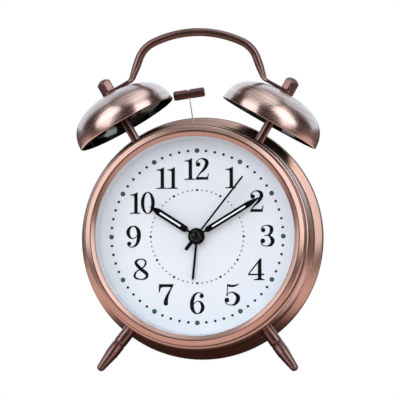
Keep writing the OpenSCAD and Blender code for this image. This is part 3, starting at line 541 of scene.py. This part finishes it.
def bell(side, word):
    """A turned copper cup with a rounded rim, and a near-black lining inside it."""
    skin_t = 0.35
    inset_r = 0.3
    inset_z = 0.2
    rim_round = 0.5
    lining_t = 0.5
    place = bell_axis(side)
    outer = cup(BELL_R, BELL_H, 64)
    skin = arc((BELL_R - rim_round, rim_round), rim_round, 270, 350, 8)
    skin += [p for p in outer if p[1] > rim_round]
    skin += [(BELL_HOLE_R, BELL_H), (BELL_HOLE_R, BELL_H - skin_t)]
    under = [p for p in outer if p[0] > BELL_HOLE_R + 1 and p[1] > 2 * rim_round]
    skin += [(r - inset_r, z - inset_z) for r, z in reversed(under)]
    mesh = revolve("bell_shell_" + word, skin, 192)
    thing("bell_shell_" + word, mesh, place, "case", BELL_COPPER, ["bell_" + word])
    lining = cup(BELL_R - BELL_WALL, BELL_H - BELL_WALL)
    behind = [(r + lining_t, z + lining_t) for r, z in reversed(lining)]
    mesh = revolve("bell_lining_" + word, lining + behind, 160)
    thing("bell_lining_" + word, mesh, place, "case", BELL_INSIDE)


def hex_radius(angle, flat):
    """Distance from the middle to a hexagon's side, with its corners a little rounded."""
    folded = (math.degrees(angle) + 30) % 60 - 30
    blunted = 1.115 * flat
    return min(flat / math.cos(math.radians(folded)), blunted)


def cap_nut(side, word):
    """A cap nut: a hexagonal bar whose top is rounded off to a dome."""
    flat = CAP_R * math.cos(math.radians(30))
    chamfer = 0.25
    dome_from = CAP_H - 3.2
    steps = 120
    rows = [(0.0, CAP_R - chamfer), (chamfer, CAP_R)]
    rows += [(dome_from * t, CAP_R) for t in (0.3, 0.6, 0.9)]
    rows += [
        (dome_from + (CAP_H - dome_from) * math.sin(a), CAP_R * math.cos(a))
        for a in [math.pi / 2 * i / 24 for i in range(24)]
    ]
    vertices = [(0, 0, 0)]
    for z, limit in rows:
        for k in range(steps):
            a = 2 * math.pi * k / steps
            r = min(hex_radius(a, flat), limit)
            vertices.append((r * math.cos(a), r * math.sin(a), z))
    vertices.append((0, 0, CAP_H))
    faces = []
    for k in range(steps):
        after = (k + 1) % steps
        faces.append((0, 1 + after, 1 + k))
        for row in range(len(rows) - 1):
            low = 1 + row * steps
            faces.append((low + k, low + after, low + steps + after, low + steps + k))
        top = 1 + (len(rows) - 1) * steps
        faces.append((top + k, top + after, len(vertices) - 1))
    mesh = tidy(mesh_of("acorn_nut_" + word, vertices, faces), 50)
    place = bell_axis(side, BELL_H + TAB_T)
    thing("acorn_nut_" + word, mesh, place, "case", BROWN, ["cap_nut_" + word])


def leg(side, word):
    """A leg in two parts with a groove between them, the lower one tapering to a round tip."""
    root = -0.9
    groove = 10.0
    belly = 16.4
    groove_r = LEG_R - 0.3
    chamfer_r = LEG_R - 0.12
    outline = [(0, root), (LEG_R, root), (LEG_R, groove - 0.45), (chamfer_r, groove - 0.2)]
    outline += [(groove_r, groove), (groove_r, groove + 0.2), (chamfer_r, groove + 0.4)]
    outline += [(LEG_R, groove + 0.7), (LEG_R, groove + 3), (LEG_R - 0.04, belly - 0.9)]
    outline += [(chamfer_r, belly), (LEG_R - 0.25, belly + 0.9)]
    outline += arc((0, LEG_LEN - LEG_TIP_R), LEG_TIP_R, 8, 90, 16)
    mesh = revolve("foot_" + word, outline, 96)
    hip = CLOCK @ turn(side * (180 - LEG_ANGLE), "Y") @ at(0, MID_Y, CASE_R) @ turn(LEG_TILT, "X")
    thing("foot_" + word, mesh, hip, "case", BROWN, ["leg_" + word])


# The handle's centre line, as in the CAD source
HANDLE_TOP = 99.8
ARCH_R = 50.0
CORNER_R = 14.0
UPRIGHT_LEAN = 19.6
TAB_W = 7.0
TAB_LEN = 12.5
BEND_R = 4.0
ROD_R = 2.0

# Powers that shape the rod's section: nearly square on the tabs, rounder after the bend
TAB_SQUARE = 0.45
BEND_SQUARE = 0.85


def handle_stations():
    """Right half of the handle: x, z, width along Y, thickness and squareness at each station."""
    lean = math.radians(UPRIGHT_LEAN)
    tilt = math.radians(BELL_TILT)
    angle = math.radians(BELL_ANGLE)
    outwards = Vector((math.sin(tilt), math.cos(tilt)))
    stud = BELL_RIM_D * Vector((math.sin(angle), math.cos(angle))) + (BELL_H + TAB_T / 2) * outwards
    along = Vector((math.cos(tilt), -math.sin(tilt)))
    rise = Vector((-math.sin(lean), math.cos(lean)))
    foot = stud - TAB_LEN * along
    bend_turn = 90 - BELL_TILT - UPRIGHT_LEAN
    cut = BEND_R * math.tan(math.radians(bend_turn / 2))
    arch_z = HANDLE_TOP - ARCH_R
    offset = foot.x * math.cos(lean) + (foot.y - arch_z) * math.sin(lean)
    half = math.degrees(math.asin((offset - CORNER_R) / (ARCH_R - CORNER_R))) - UPRIGHT_LEAN
    gap = ARCH_R - CORNER_R
    corner = (gap * math.sin(math.radians(half)), arch_z + gap * math.cos(math.radians(half)))
    stations = []
    for i in range(1, 13):
        a = math.radians(90 * i / 12)
        point = stud + TAB_W / 2 * math.cos(a) * along
        stations.append((point.x, point.y, TAB_W * math.sin(a), TAB_T, TAB_SQUARE))
    root = foot + (cut + 2.5) * along
    stations.append((root.x, root.y, TAB_W, TAB_T, TAB_SQUARE))
    middle = foot + cut * along + BEND_R * outwards
    steps = 12
    for i in range(steps + 1):
        a = math.radians(270 - BELL_TILT - i * bend_turn / steps)
        share = i / steps
        stations.append((
            middle.x + BEND_R * math.cos(a), middle.y + BEND_R * math.sin(a),
            TAB_W + (2 * ROD_R + 1 - TAB_W) * share, TAB_T + (2 * ROD_R - 1 - TAB_T) * share,
            TAB_SQUARE + (BEND_SQUARE - TAB_SQUARE) * share,
        ))
    for distance, extra in ((2, 0.6), (3, 0.4), (4.5, 0.15), (6, 0)):
        point = foot + (cut + distance) * rise
        stations.append((point.x, point.y, 2 * ROD_R + extra, 2 * ROD_R - extra, 1))
    for x, z in arc(corner, CORNER_R, UPRIGHT_LEAN, 90 - half, 24):
        stations.append((x, z, 2 * ROD_R, 2 * ROD_R, 1))
    for x, z in arc((0, arch_z), ARCH_R, 90 - half, 90, 24)[1:]:
        stations.append((x, z, 2 * ROD_R, 2 * ROD_R, 1))
    return stations


def bulge(value, power):
    """A sine or cosine bent towards a rounded square's."""
    return math.copysign(abs(value) ** power, value)


def handle():
    """The carrying handle: a round rod that flattens to a tab under each cap nut."""
    half = handle_stations()
    path = half + [(-x, z, w, t, q) for x, z, w, t, q in reversed(half[:-1])]
    sides = 40
    vertices = []
    for i, (x, z, width, thick, square) in enumerate(path):
        before = path[max(i - 1, 0)]
        after = path[min(i + 1, len(path) - 1)]
        way = Vector((after[0] - before[0], after[1] - before[1])).normalized()
        for k in range(sides):
            a = 2 * math.pi * k / sides
            across = width / 2 * bulge(math.cos(a), square)
            out = thick / 2 * bulge(math.sin(a), square)
            vertices.append((x - way.y * out, across, z + way.x * out))
    faces = [
        (i * sides + k, (i + 1) * sides + k, (i + 1) * sides + (k + 1) % sides, i * sides + (k + 1) % sides)
        for i in range(len(path) - 1) for k in range(sides)
    ]
    last = (len(path) - 1) * sides
    faces += [tuple(range(sides)), tuple(last + k for k in reversed(range(sides)))]
    mesh = tidy(mesh_of("carry_handle", vertices, faces), 50)
    thing("carry_handle", mesh, CLOCK @ at(0, MID_Y, 0), "case", BROWN, ["handle"])


# ---- Flat work: hands and print ----

def smooth(points, steps=8):
    """A Catmull-Rom curve through the points; each is (x, y, width)."""
    ends = [points[0]] + list(points) + [points[-1]]
    curve = []
    for i in range(1, len(ends) - 2):
        before, start, stop, after = ends[i - 1:i + 3]
        for step in range(steps):
            t = step / steps
            curve.append(tuple(
                b + (c - a) / 2 * t + (a - 2.5 * b + 2 * c - d / 2) * t ** 2
                + (3 * b - a - 3 * c + d) / 2 * t ** 3
                for a, b, c, d in zip(before, start, stop, after)
            ))
    return curve + [tuple(points[-1])]


def stroke(*points):
    """Outline of a pen stroke through (x, y, width)."""
    curve = smooth(points)
    left = []
    right = []
    for i, (x, y, width) in enumerate(curve):
        before = curve[max(i - 1, 0)]
        after = curve[min(i + 1, len(curve) - 1)]
        way = Vector((after[0] - before[0], after[1] - before[1])).normalized()
        left.append((x - way.y * width / 2, y + way.x * width / 2))
        right.append((x + way.y * width / 2, y - way.x * width / 2))
    return left + right[::-1]


def oval(x, y, half_w, half_h, steps=64):
    """Outline of an ellipse."""
    turns = [2 * math.pi * k / steps for k in range(steps)]
    return [(x + half_w * math.cos(a), y + half_h * math.sin(a)) for a in turns]


def ball(x, y, r, steps=32):
    """Outline of a disc, such as the ball on a numeral's stroke."""
    return oval(x, y, r, r, steps)


def slab(name, outline, front, thick):
    """Thickens one outline of (x, z) from y = front towards the rear."""
    count = len(outline)
    vertices = [(x, front, z) for x, z in outline] + [(x, front + thick, z) for x, z in outline]
    faces = [tuple(range(count)), tuple(range(2 * count - 1, count - 1, -1))]
    faces += [(k, k + count, (k + 1) % count + count, (k + 1) % count) for k in range(count)]
    return tidy(mesh_of(name, vertices, faces), 30)


def merged(name, outlines, holes, front, thick):
    """One flat mesh: the outlines joined, the holes cut out."""
    piece = linked(name, slab(name, outlines[0], front, thick))
    for outline in outlines[1:]:
        boolean(piece, linked("part", slab("part", outline, front, thick)), "UNION")
    for outline in holes:
        boolean(piece, linked("part", slab("part", outline, front - 1, thick + 2)), "DIFFERENCE")
    mesh = tidy(piece.data.copy(), 30)
    bpy.data.objects.remove(piece)
    return mesh


DIGIT_H = 10.5


def digit_strokes():
    """Each numeral in a box 10.5 mm high: width, joined outlines, holes."""
    one = [
        (3.8, 10.5), (3.8, 1.0), (4.0, 0.62), (5.1, 0.5), (5.1, 0), (0, 0), (0, 0.5), (1.8, 0.62),
        (2.1, 1.0), (2.1, 8.1), (1.75, 8.75), (0.1, 8.95), (0.1, 9.35), (1.9, 9.6), (3.1, 10.2),
        (3.5, 10.5),
    ]
    two = [
        stroke((0.75, 7.3, 0.6), (0.75, 8.9, 0.55), (2.9, 10.28, 0.5), (5.2, 9.4, 1.5), (5.6, 7.7, 1.85),
               (4.4, 5.3, 1.35), (2.3, 3.1, 0.75), (0.7, 1.0, 0.5), (0.2, 0.2, 0.45)),
        ball(1.4, 7.45, 1.1),
        [(0, 0), (6.15, 0), (6.65, 3.1), (6.2, 3.1), (5.85, 1.6), (5.4, 1.35), (1.2, 1.4), (0.5, 1.0)],
    ]
    three = [
        stroke((0.75, 8.2, 0.5), (1.2, 9.5, 0.5), (3.3, 10.25, 0.5), (5.3, 9.4, 1.4), (5.6, 7.9, 1.8),
               (4.9, 6.1, 1.2), (3.4, 5.4, 0.5), (2.1, 5.35, 0.5)),
        stroke((3.0, 5.4, 0.5), (4.6, 5.1, 0.9), (6.1, 3.0, 2.0), (5.3, 0.9, 1.4), (3.2, 0.25, 0.5),
               (1.0, 0.9, 0.55), (0.5, 2.3, 0.5)),
        ball(1.55, 7.95, 1.05), ball(1.35, 2.75, 1.15),
    ]
    four = [
        [(4.7, 0), (6.5, 0), (6.5, 10.5), (5.9, 10.5), (4.7, 8.9)],
        stroke((0.1, 2.8, 0.6), (6.0, 10.3, 0.75)),
        [(0, 2.4), (7.8, 2.4), (7.8, 3.15), (0, 3.15)],
        [(2.8, 0), (7.9, 0), (7.9, 0.5), (6.9, 0.7), (6.5, 1.1), (4.7, 1.1), (4.3, 0.7), (2.8, 0.5)],
    ]
    five = [
        [(1.3, 10.5), (1.9, 10.2), (3.8, 9.95), (5.6, 10.1), (7.1, 10.55), (7.2, 10.35), (5.9, 9.3),
         (4.2, 8.8), (2.6, 8.85), (1.7, 9.15), (1.3, 9.4)],
        stroke((1.55, 10.2, 0.5), (1.5, 7.5, 0.5), (1.3, 5.1, 0.45)),
        ball(1.3, 4.95, 0.42),
        stroke((1.3, 4.9, 0.4), (2.4, 6.0, 0.5), (4.3, 6.3, 0.75), (6.5, 4.4, 1.85), (6.4, 2.4, 1.9),
               (5.0, 0.55, 1.1), (3.2, 0.22, 0.5), (1.1, 0.8, 0.5), (0.4, 2.2, 0.45)),
        ball(1.25, 2.6, 1.15),
    ]
    six = [
        stroke((6.55, 8.6, 0.5), (5.9, 9.8, 0.5), (4.3, 10.3, 0.5), (2.2, 9.0, 1.3), (1.05, 5.6, 1.9),
               (1.3, 2.4, 1.8), (2.6, 0.55, 1.0), (3.8, 0.22, 0.5), (5.4, 1.0, 1.2), (6.3, 3.2, 1.8),
               (5.5, 5.4, 1.2), (4.0, 6.15, 0.5), (2.4, 5.4, 0.45), (1.6, 4.0, 0.4)),
        ball(5.75, 8.65, 1.05),
    ]
    seven = [
        [(0.35, 10.35), (7.5, 10.35), (7.5, 9.9), (7.0, 9.0), (6.7, 8.9), (2.2, 8.9), (1.2, 8.3),
         (0.75, 6.4), (0.2, 6.4)],
        stroke((7.25, 10.05, 0.5), (5.7, 7.2, 0.85), (4.35, 4.4, 1.4), (3.75, 2.2, 2.0), (3.7, 1.2, 2.1)),
        ball(3.7, 1.1, 1.1),
    ]
    eight = [
        stroke((3.9, 10.25, 0.5), (2.0, 9.6, 1.0), (1.4, 8.1, 1.4), (3.7, 5.45, 1.7), (6.5, 3.1, 1.6),
               (6.3, 1.1, 1.1), (3.8, 0.25, 0.5)),
        stroke((3.8, 0.25, 0.5), (1.2, 1.1, 1.0), (0.75, 2.6, 1.1), (2.0, 4.4, 0.7), (4.6, 5.9, 0.65),
               (6.1, 7.9, 0.95), (5.6, 9.6, 0.75), (3.9, 10.25, 0.5)),
    ]
    zero = [oval(3.4, DIGIT_H / 2, 3.4, 5.4)]
    eye = [oval(3.4, DIGIT_H / 2, 1.65, 4.9)]
    nine_w = 7.3
    nine = [[(nine_w - x, DIGIT_H - y) for x, y in outline] for outline in six]
    return {
        "0": (6.8, zero, eye), "1": (5.1, [one], []), "2": (6.65, two, []), "3": (7.1, three, []),
        "4": (7.7, four, []), "5": (7.5, five, []), "6": (7.3, six, []), "7": (7.5, seven, []),
        "8": (7.4, eight, []), "9": (nine_w, nine, []),
    }


INK_T = 0.04
INK_SINK = 0.01
MINUTE_RING_R = 41.6
ALARM_RING_R = 22.5
NUMERAL_AT = {
    12: (-0.2, 32.7), 1: (16.2, 28.5), 2: (28.8, 17.0), 3: (33.9, 0.3),
    4: (28.4, -15.9), 5: (16.8, -28.0), 6: (0.0, -32.1), 7: (-15.2, -28.0),
    8: (-27.4, -15.7), 9: (-30.9, 0.1), 10: (-26.6, 16.4), 11: (-14.6, 28.4),
}


def join(name, pieces):
    """Joins loose (mesh, shift) pairs into one mesh."""
    bm = bmesh.new()
    for mesh, shift in pieces:
        first = len(bm.verts)
        bm.from_mesh(mesh)
        bm.verts.ensure_lookup_table()
        for vertex in bm.verts[first:]:
            vertex.co += Vector(shift) * MM
    mesh = bpy.data.meshes.new(name)
    bm.to_mesh(mesh)
    bm.free()
    return tidy(mesh, 30)


def numerals():
    """The twelve hours, each centred on its place."""
    shapes = {}
    for digit, (width, outlines, holes) in digit_strokes().items():
        shapes[digit] = (width, merged("digit_" + digit, outlines, holes, -INK_T, INK_T + INK_SINK))
    pieces = []
    digit_gap = 0.2
    for number, (x, z) in NUMERAL_AT.items():
        digits = str(number)
        total = sum(shapes[d][0] for d in digits) + digit_gap * (len(digits) - 1)
        left = x - total / 2
        for d in digits:
            width, mesh = shapes[d]
            pieces.append((mesh, (left, 0, z - DIGIT_H / 2)))
            left += width + digit_gap
    thing("numerals", join("numerals", pieces), CLOCK, "case", INK)


def dots(name, ring_r, dot_r, wanted, material, raised=INK_T):
    """A ring of dots at the wanted minutes."""
    dot = slab("dot", ball(0, 0, dot_r, 24), -raised, raised + INK_SINK)
    pieces = []
    for minute in range(60):
        if wanted(minute):
            a = math.radians(6 * minute)
            pieces.append((dot, (ring_r * math.sin(a), 0, ring_r * math.cos(a))))
    thing(name, join(name, pieces), CLOCK, "case", material)


def on_hour(minute):
    return minute % 5 == 0


def off_hour(minute):
    return minute % 5 > 0


def dial_print():
    numerals()
    dots("minute_dots", MINUTE_RING_R, 0.64, off_hour, INK)
    dots("hour_dots", MINUTE_RING_R, 1.15, on_hour, DOT_GREEN)
    dots("hour_dot_hearts", MINUTE_RING_R, 0.45, on_hour, DOT_HEART, INK_T + 0.05)
    dots("alarm_dots", ALARM_RING_R, 0.36, off_hour, INK)
    dots("alarm_hour_dots", ALARM_RING_R, 0.6, on_hour, INK)


def baton(length, width, neck_end, body_end):
    """Outline of a hand: narrow neck, round shoulder, straight body, long point."""
    neck = 0.5
    shoulder = 1.6
    tip = 0.22
    side = [(neck, 0), (neck, neck_end)]
    for i in range(1, 9):
        a = math.pi / 2 * i / 8
        out = neck + (width / 2 - neck) * math.sin(a)
        side.append((out, neck_end + shoulder * (1 - math.cos(a))))
    for i in range(13):
        t = i / 12
        side.append((tip + (width / 2 - tip) * (1 - t ** 1.6), body_end + (length - 1.2 - body_end) * t))
    side.append((0.12, length))
    return side + [(-x, z) for x, z in reversed(side)]


def needle(length, half, tail_half, tail):
    """Outline of the second hand, with a round tail."""
    sides = [(half, 1), (half, length - 0.3), (half - 0.2, length)]
    right = [(tail_half, tail_half - tail), (tail_half, -1)] + sides
    left = [(-x, z) for x, z in reversed(right)]
    return right + left + arc((0, tail_half - tail), tail_half, 180, 360, 10)[1:-1]


def pointer(length, half):
    """Outline of the alarm hand, with a blunt tip."""
    right = [(half, 0), (half, length - 0.8), (0.15, length)]
    return right + [(-x, z) for x, z in reversed(right)]


def pill(width, start, stop):
    """A slot with round ends, along Z."""
    r = width / 2
    return arc((0, stop - r), r, 0, 180, 12) + arc((0, start + r), r, 180, 360, 12)


def hands():
    """The four hands, each with the CAD hand's place and thickness."""
    lume_sunk = 0.08
    # Angle, outline, radius of the hub and of its hole, and the slot for the luminous paint
    plans = {
        "hour": (HOUR_AT, baton(27, 3.3, 5.4, 21.8), 3.8, 1.75, pill(0.86, 9.2, 21.3)),
        "minute": (MINUTE_AT, baton(36.5, 2.9, 5.2, 28.4), 4.05, 1.05, pill(0.74, 8.8, 27.8)),
        "second": (SECOND_AT, needle(36.5, 0.45, 0.9, 8.5), 1.6, 0.45, None),
        "alarm": (ALARM_AT, pointer(21.1, 0.55), 3.3, 2.55, None),
    }
    for word, (angle, outline, hub, bore, slot) in plans.items():
        body = word + "_hand"
        low, high = clock_box(body)
        thick = high.y - low.y
        place = CLOCK @ turn(angle, "Y")
        holes = [ball(0, 0, bore, 48)] + ([slot] if slot else [])
        mesh = merged(word + "_pointer", [outline, ball(0, 0, hub, 64)], holes, low.y, thick)
        piece = thing(word + "_pointer", mesh, place, body, BLACK_ENAMEL, [body])
        soften(piece, 0.07)
        if slot:
            inlay = slab(word + "_lume", slot, low.y + lume_sunk, thick - 2 * lume_sunk)
            thing(word + "_lume", inlay, place, body, LUME)


def hub_dome():
    """The round black cap on the centre of the hands."""
    low, high = clock_box("hand_cap")
    radius = high.x
    shoulder = high.y - 0.6
    outline = [(0, high.y), (radius - 0.1, high.y), (radius, high.y - 0.1)]
    outline += [
        (radius * math.cos(a), shoulder + (low.y - shoulder) * math.sin(a))
        for a in [math.pi / 2 * i / 24 for i in range(25)]
    ]
    mesh = revolve("hub_dome", outline, 96)
    thing("hub_dome", mesh, face_axis(), "second_hand", HUB_GLOSS, ["hand_cap"])


# ---- Moulded and turned parts that keep the CAD shape, with softened edges ----

def soft_copy(node, body, width, material):
    """A copy of a CAD node's mesh whose sharp outer edges are rounded."""
    mesh = NODES[node].data.copy()
    mesh.materials.clear()
    bm = bmesh.new()
    bm.from_mesh(mesh)
    bmesh.ops.remove_doubles(bm, verts=bm.verts, dist=2 * WELD)
    bmesh.ops.dissolve_limit(bm, angle_limit=math.radians(0.5), verts=bm.verts, edges=bm.edges)
    weight = bm.edges.layers.float.new("bevel_weight_edge")
    for edge in bm.edges:
        if edge.is_manifold and edge.is_convex and edge.calc_face_angle() > math.radians(BEVELLED):
            edge[weight] = 1
    bm.to_mesh(mesh)
    bm.free()
    piece = thing(node + "_soft", mesh, Matrix.Identity(4), body, material, [node])
    soften(piece, width, by="WEIGHT")
    piece.data.polygons.foreach_set("use_smooth", [True] * len(piece.data.polygons))
    piece.data.set_sharp_from_angle(angle=math.radians(60))
    modifier = piece.modifiers.new("even", "WEIGHTED_NORMAL")
    modifier.keep_sharp = True
    modifier.weight = 100
    applied(piece, modifier)


def rear_parts():
    soft_copy("back_cover", "case", 0.3, BLACK_PLASTIC)
    soft_copy("battery_door", "battery_door", 0.2, DOOR_PLASTIC)
    soft_copy("time_knob", "time_knob", 0.12, KNOB_PLASTIC)
    soft_copy("alarm_knob", "alarm_knob", 0.12, KNOB_PLASTIC)
    soft_copy("alarm_switch", "alarm_switch", 0.15, KNOB_PLASTIC)


drum()
bezel()
rear_parts()
for side, word in ((-1, "left"), (1, "right")):
    bell(side, word)
    cap_nut(side, word)
    leg(side, word)
handle()
dial_print()
hands()
hub_dome()


# ---- Camera, light and floor ----

VIEW_AZIMUTH = 4.7
VIEW_ELEVATION = 6.562
VIEW_DISTANCE = 1200.0
AIM_RIGHT = 1.61
AIM_UP = 17.65
VIEW_ROLL = 0.8
LENS = 223.7


def camera():
    """A long lens from the front, a little above and to the right."""
    data = bpy.data.cameras.new("camera")
    data.lens = LENS
    data.clip_end = 100
    eye = linked("camera", data)
    azimuth = math.radians(VIEW_AZIMUTH)
    elevation = math.radians(VIEW_ELEVATION)
    back = Vector((
        math.sin(azimuth) * math.cos(elevation),
        -math.cos(azimuth) * math.cos(elevation),
        math.sin(elevation),
    ))
    right = Vector((math.cos(azimuth), math.sin(azimuth), 0))
    eye.location = DIAL_CENTRE + back * VIEW_DISTANCE * MM
    target = DIAL_CENTRE + (right * AIM_RIGHT + back.cross(right) * AIM_UP) * MM
    level = (target - eye.location).to_track_quat("-Z", "Y").to_matrix()
    eye.rotation_euler = (level @ Matrix.Rotation(math.radians(-VIEW_ROLL), 3, "Z")).to_euler()
    bpy.context.scene.camera = eye


def panel(name, azimuth, elevation, distance, size, power, colour=(1, 1, 1)):
    """A soft box that faces the clock; azimuth is from the front towards +X, distance and size in m."""
    data = bpy.data.lights.new(name, "AREA")
    data.shape = "RECTANGLE"
    data.size, data.size_y = size
    data.energy = power
    data.color = colour
    light = linked(name, data)
    a = math.radians(azimuth)
    e = math.radians(elevation)
    away = Vector((math.sin(a) * math.cos(e), -math.cos(a) * math.cos(e), math.sin(e)))
    light.location = DIAL_CENTRE + away * distance
    light.rotation_euler = away.to_track_quat("Z", "Y").to_euler()
    return light


def step_up(tree, value, start, stop):
    """0 below start, 1 above stop, smooth between; start may be above stop."""
    node = tree.nodes.new("ShaderNodeMapRange")
    node.interpolation_type = "SMOOTHSTEP"
    node.inputs["From Min"].default_value = start
    node.inputs["From Max"].default_value = stop
    link(tree, value, node.inputs["Value"])
    return node.outputs["Result"]


def tinted(tree, factor, below, above):
    """One colour where the factor is 0 and another where it is 1."""
    mix = tree.nodes.new("ShaderNodeMix")
    mix.data_type = "RGBA"
    for socket, colour in (("A", below), ("B", above)):
        if isinstance(colour, tuple):
            mix.inputs[socket].default_value = (*colour, 1)
        else:
            link(tree, colour, mix.inputs[socket])
    link(tree, factor, mix.inputs["Factor"])
    return mix.outputs["Result"]


DARK_ROOM = (0.05, 0.031, 0.027)
CEILING_LEFT = (0.62, 0.68, 0.72)
CEILING_RIGHT = (1.35, 1.5, 1.62)
BACKDROP = (0.92, 1.2, 1.4)
AMBIENT = (0.54, 0.55, 0.57)

# Where the surroundings change, as soft steps between two angles in degrees, or two shares of x
WALL_SIDE = (62, 59)
WALL_TOP = (50, 47)
CEILING_EDGE = (57, 66)
CEILING_SEAM = (-0.25, 0.25)


def room():
    """A dark room, a pale ceiling and a pale wall behind the clock, as the metal mirrors them.

    The camera sees plain white, and matt surfaces get an even light.
    """
    world = bpy.data.worlds.new("room")
    bpy.context.scene.world = world
    world.use_nodes = True
    tree = world.node_tree
    where = tree.nodes.new("ShaderNodeTexCoord")
    split = tree.nodes.new("ShaderNodeSeparateXYZ")
    link(tree, where.outputs["Generated"], split.inputs["Vector"])
    x, y, z = (split.outputs[axis] for axis in "XYZ")
    x_squared = math_node(tree, "MULTIPLY", x, x)
    level = math_node(tree, "SQRT", math_node(tree, "MULTIPLY_ADD", y, y, x_squared))
    towards_rear = math_node(tree, "DIVIDE", y, level)
    sideways = step_up(tree, towards_rear, *(math.cos(math.radians(a)) for a in WALL_SIDE))
    below_top = step_up(tree, z, *(math.sin(math.radians(a)) for a in WALL_TOP))
    wall = math_node(tree, "MULTIPLY", sideways, below_top)
    overhead = step_up(tree, z, *(math.sin(math.radians(a)) for a in CEILING_EDGE))
    ceiling = tinted(tree, step_up(tree, x, *CEILING_SEAM), CEILING_LEFT, CEILING_RIGHT)
    colour = tinted(tree, overhead, DARK_ROOM, ceiling)
    colour = tinted(tree, wall, colour, BACKDROP)
    path = tree.nodes.new("ShaderNodeLightPath")
    colour = tinted(tree, path.outputs["Is Diffuse Ray"], colour, AMBIENT)
    colour = tinted(tree, path.outputs["Is Camera Ray"], colour, (1, 1, 1))
    link(tree, colour, tree.nodes["Background"].inputs["Color"])


# Glow colours the floor shows in reflections: painted shade far away, a painted pool of light, and painted
# shadow under the clock
FLOOR_FAR_PAINTED_SHADE = (0.12, 0.09, 0.085)
FLOOR_PAINTED_LIGHT = (1.12, 0.94, 0.9)
FLOOR_PAINTED_SHADOW = (0.06, 0.03, 0.025)

# The painted pool of light on the floor, seen only in reflections: its middle and spread, then its soft
# inner and outer edges
OVAL_SHIFT = (0, -0.35, 0)
OVAL_SCALE = (11, 20, 1)
OVAL_INSIDE = (0.75, 1.3)
OVAL_OUTSIDE = (3.0, 4.6)


def floor():
    """A floor that glows plain white to the camera; in reflections it glows with a painted pool of light
    round the clock, painted shadow under it and painted shade far away.
    """
    bpy.ops.mesh.primitive_plane_add(size=60)
    plane = bpy.context.object
    plane.name = "floor"
    material, tree, shader = nodes_of("floor_white_and_painted_glow")
    tree.nodes.remove(shader)
    where = tree.nodes.new("ShaderNodeTexCoord")
    place = tree.nodes.new("ShaderNodeMapping")
    place.inputs["Location"].default_value = OVAL_SHIFT
    place.inputs["Scale"].default_value = OVAL_SCALE
    reach = tree.nodes.new("ShaderNodeVectorMath")
    reach.operation = "LENGTH"
    link(tree, where.outputs["Object"], place.inputs["Vector"])
    link(tree, place.outputs["Vector"], reach.inputs[0])
    # Masks for the painted pool of light and the painted shade far away
    light_pool_mask = step_up(tree, reach.outputs["Value"], *OVAL_INSIDE)
    far_shade_mask = step_up(tree, reach.outputs["Value"], *OVAL_OUTSIDE)
    colour = tinted(tree, far_shade_mask, tinted(tree, light_pool_mask, FLOOR_PAINTED_SHADOW, FLOOR_PAINTED_LIGHT), FLOOR_FAR_PAINTED_SHADE)
    seen = tree.nodes.new("ShaderNodeEmission")
    seen.inputs["Color"].default_value = (1, 1, 1, 1)
    # In reflections the floor glows with the painted light and shade; the camera sees plain white
    painted_glow = tree.nodes.new("ShaderNodeEmission")
    link(tree, colour, painted_glow.inputs["Color"])
    path = tree.nodes.new("ShaderNodeLightPath")
    mix = tree.nodes.new("ShaderNodeMixShader")
    link(tree, path.outputs["Is Camera Ray"], mix.inputs["Fac"])
    link(tree, painted_glow.outputs["Emission"], mix.inputs[1])
    link(tree, seen.outputs["Emission"], mix.inputs[2])
    link(tree, mix.outputs["Shader"], tree.nodes["Material Output"].inputs["Surface"])
    plane.data.materials.append(material)


SIDE_ELEVATION = 28
SIDE_DISTANCE = 1.5
SIDE_HEIGHT = 1.55
SIDE_POWER = 12.5
SIDE_COLOUR = (0.92, 1, 1.06)
FILL_SIZE = (3.0, 2.6)
FILL_POWER = 55


def lights():
    """Two upright soft boxes that the metal mirrors, and a broad light that it doesn't."""
    for name, azimuth, width in (("soft_left", -50, 1.1), ("soft_right", 51, 1.0)):
        size = (width, SIDE_HEIGHT)
        box = panel(name, azimuth, SIDE_ELEVATION, SIDE_DISTANCE, size, SIDE_POWER, SIDE_COLOUR)
        box.visible_diffuse = False
    fill = panel("fill_front", -5, 8, 2.0, FILL_SIZE, FILL_POWER)
    fill.visible_glossy = False


camera()
room()
floor()
lights()
bpy.context.scene.view_settings.view_transform = "Standard"
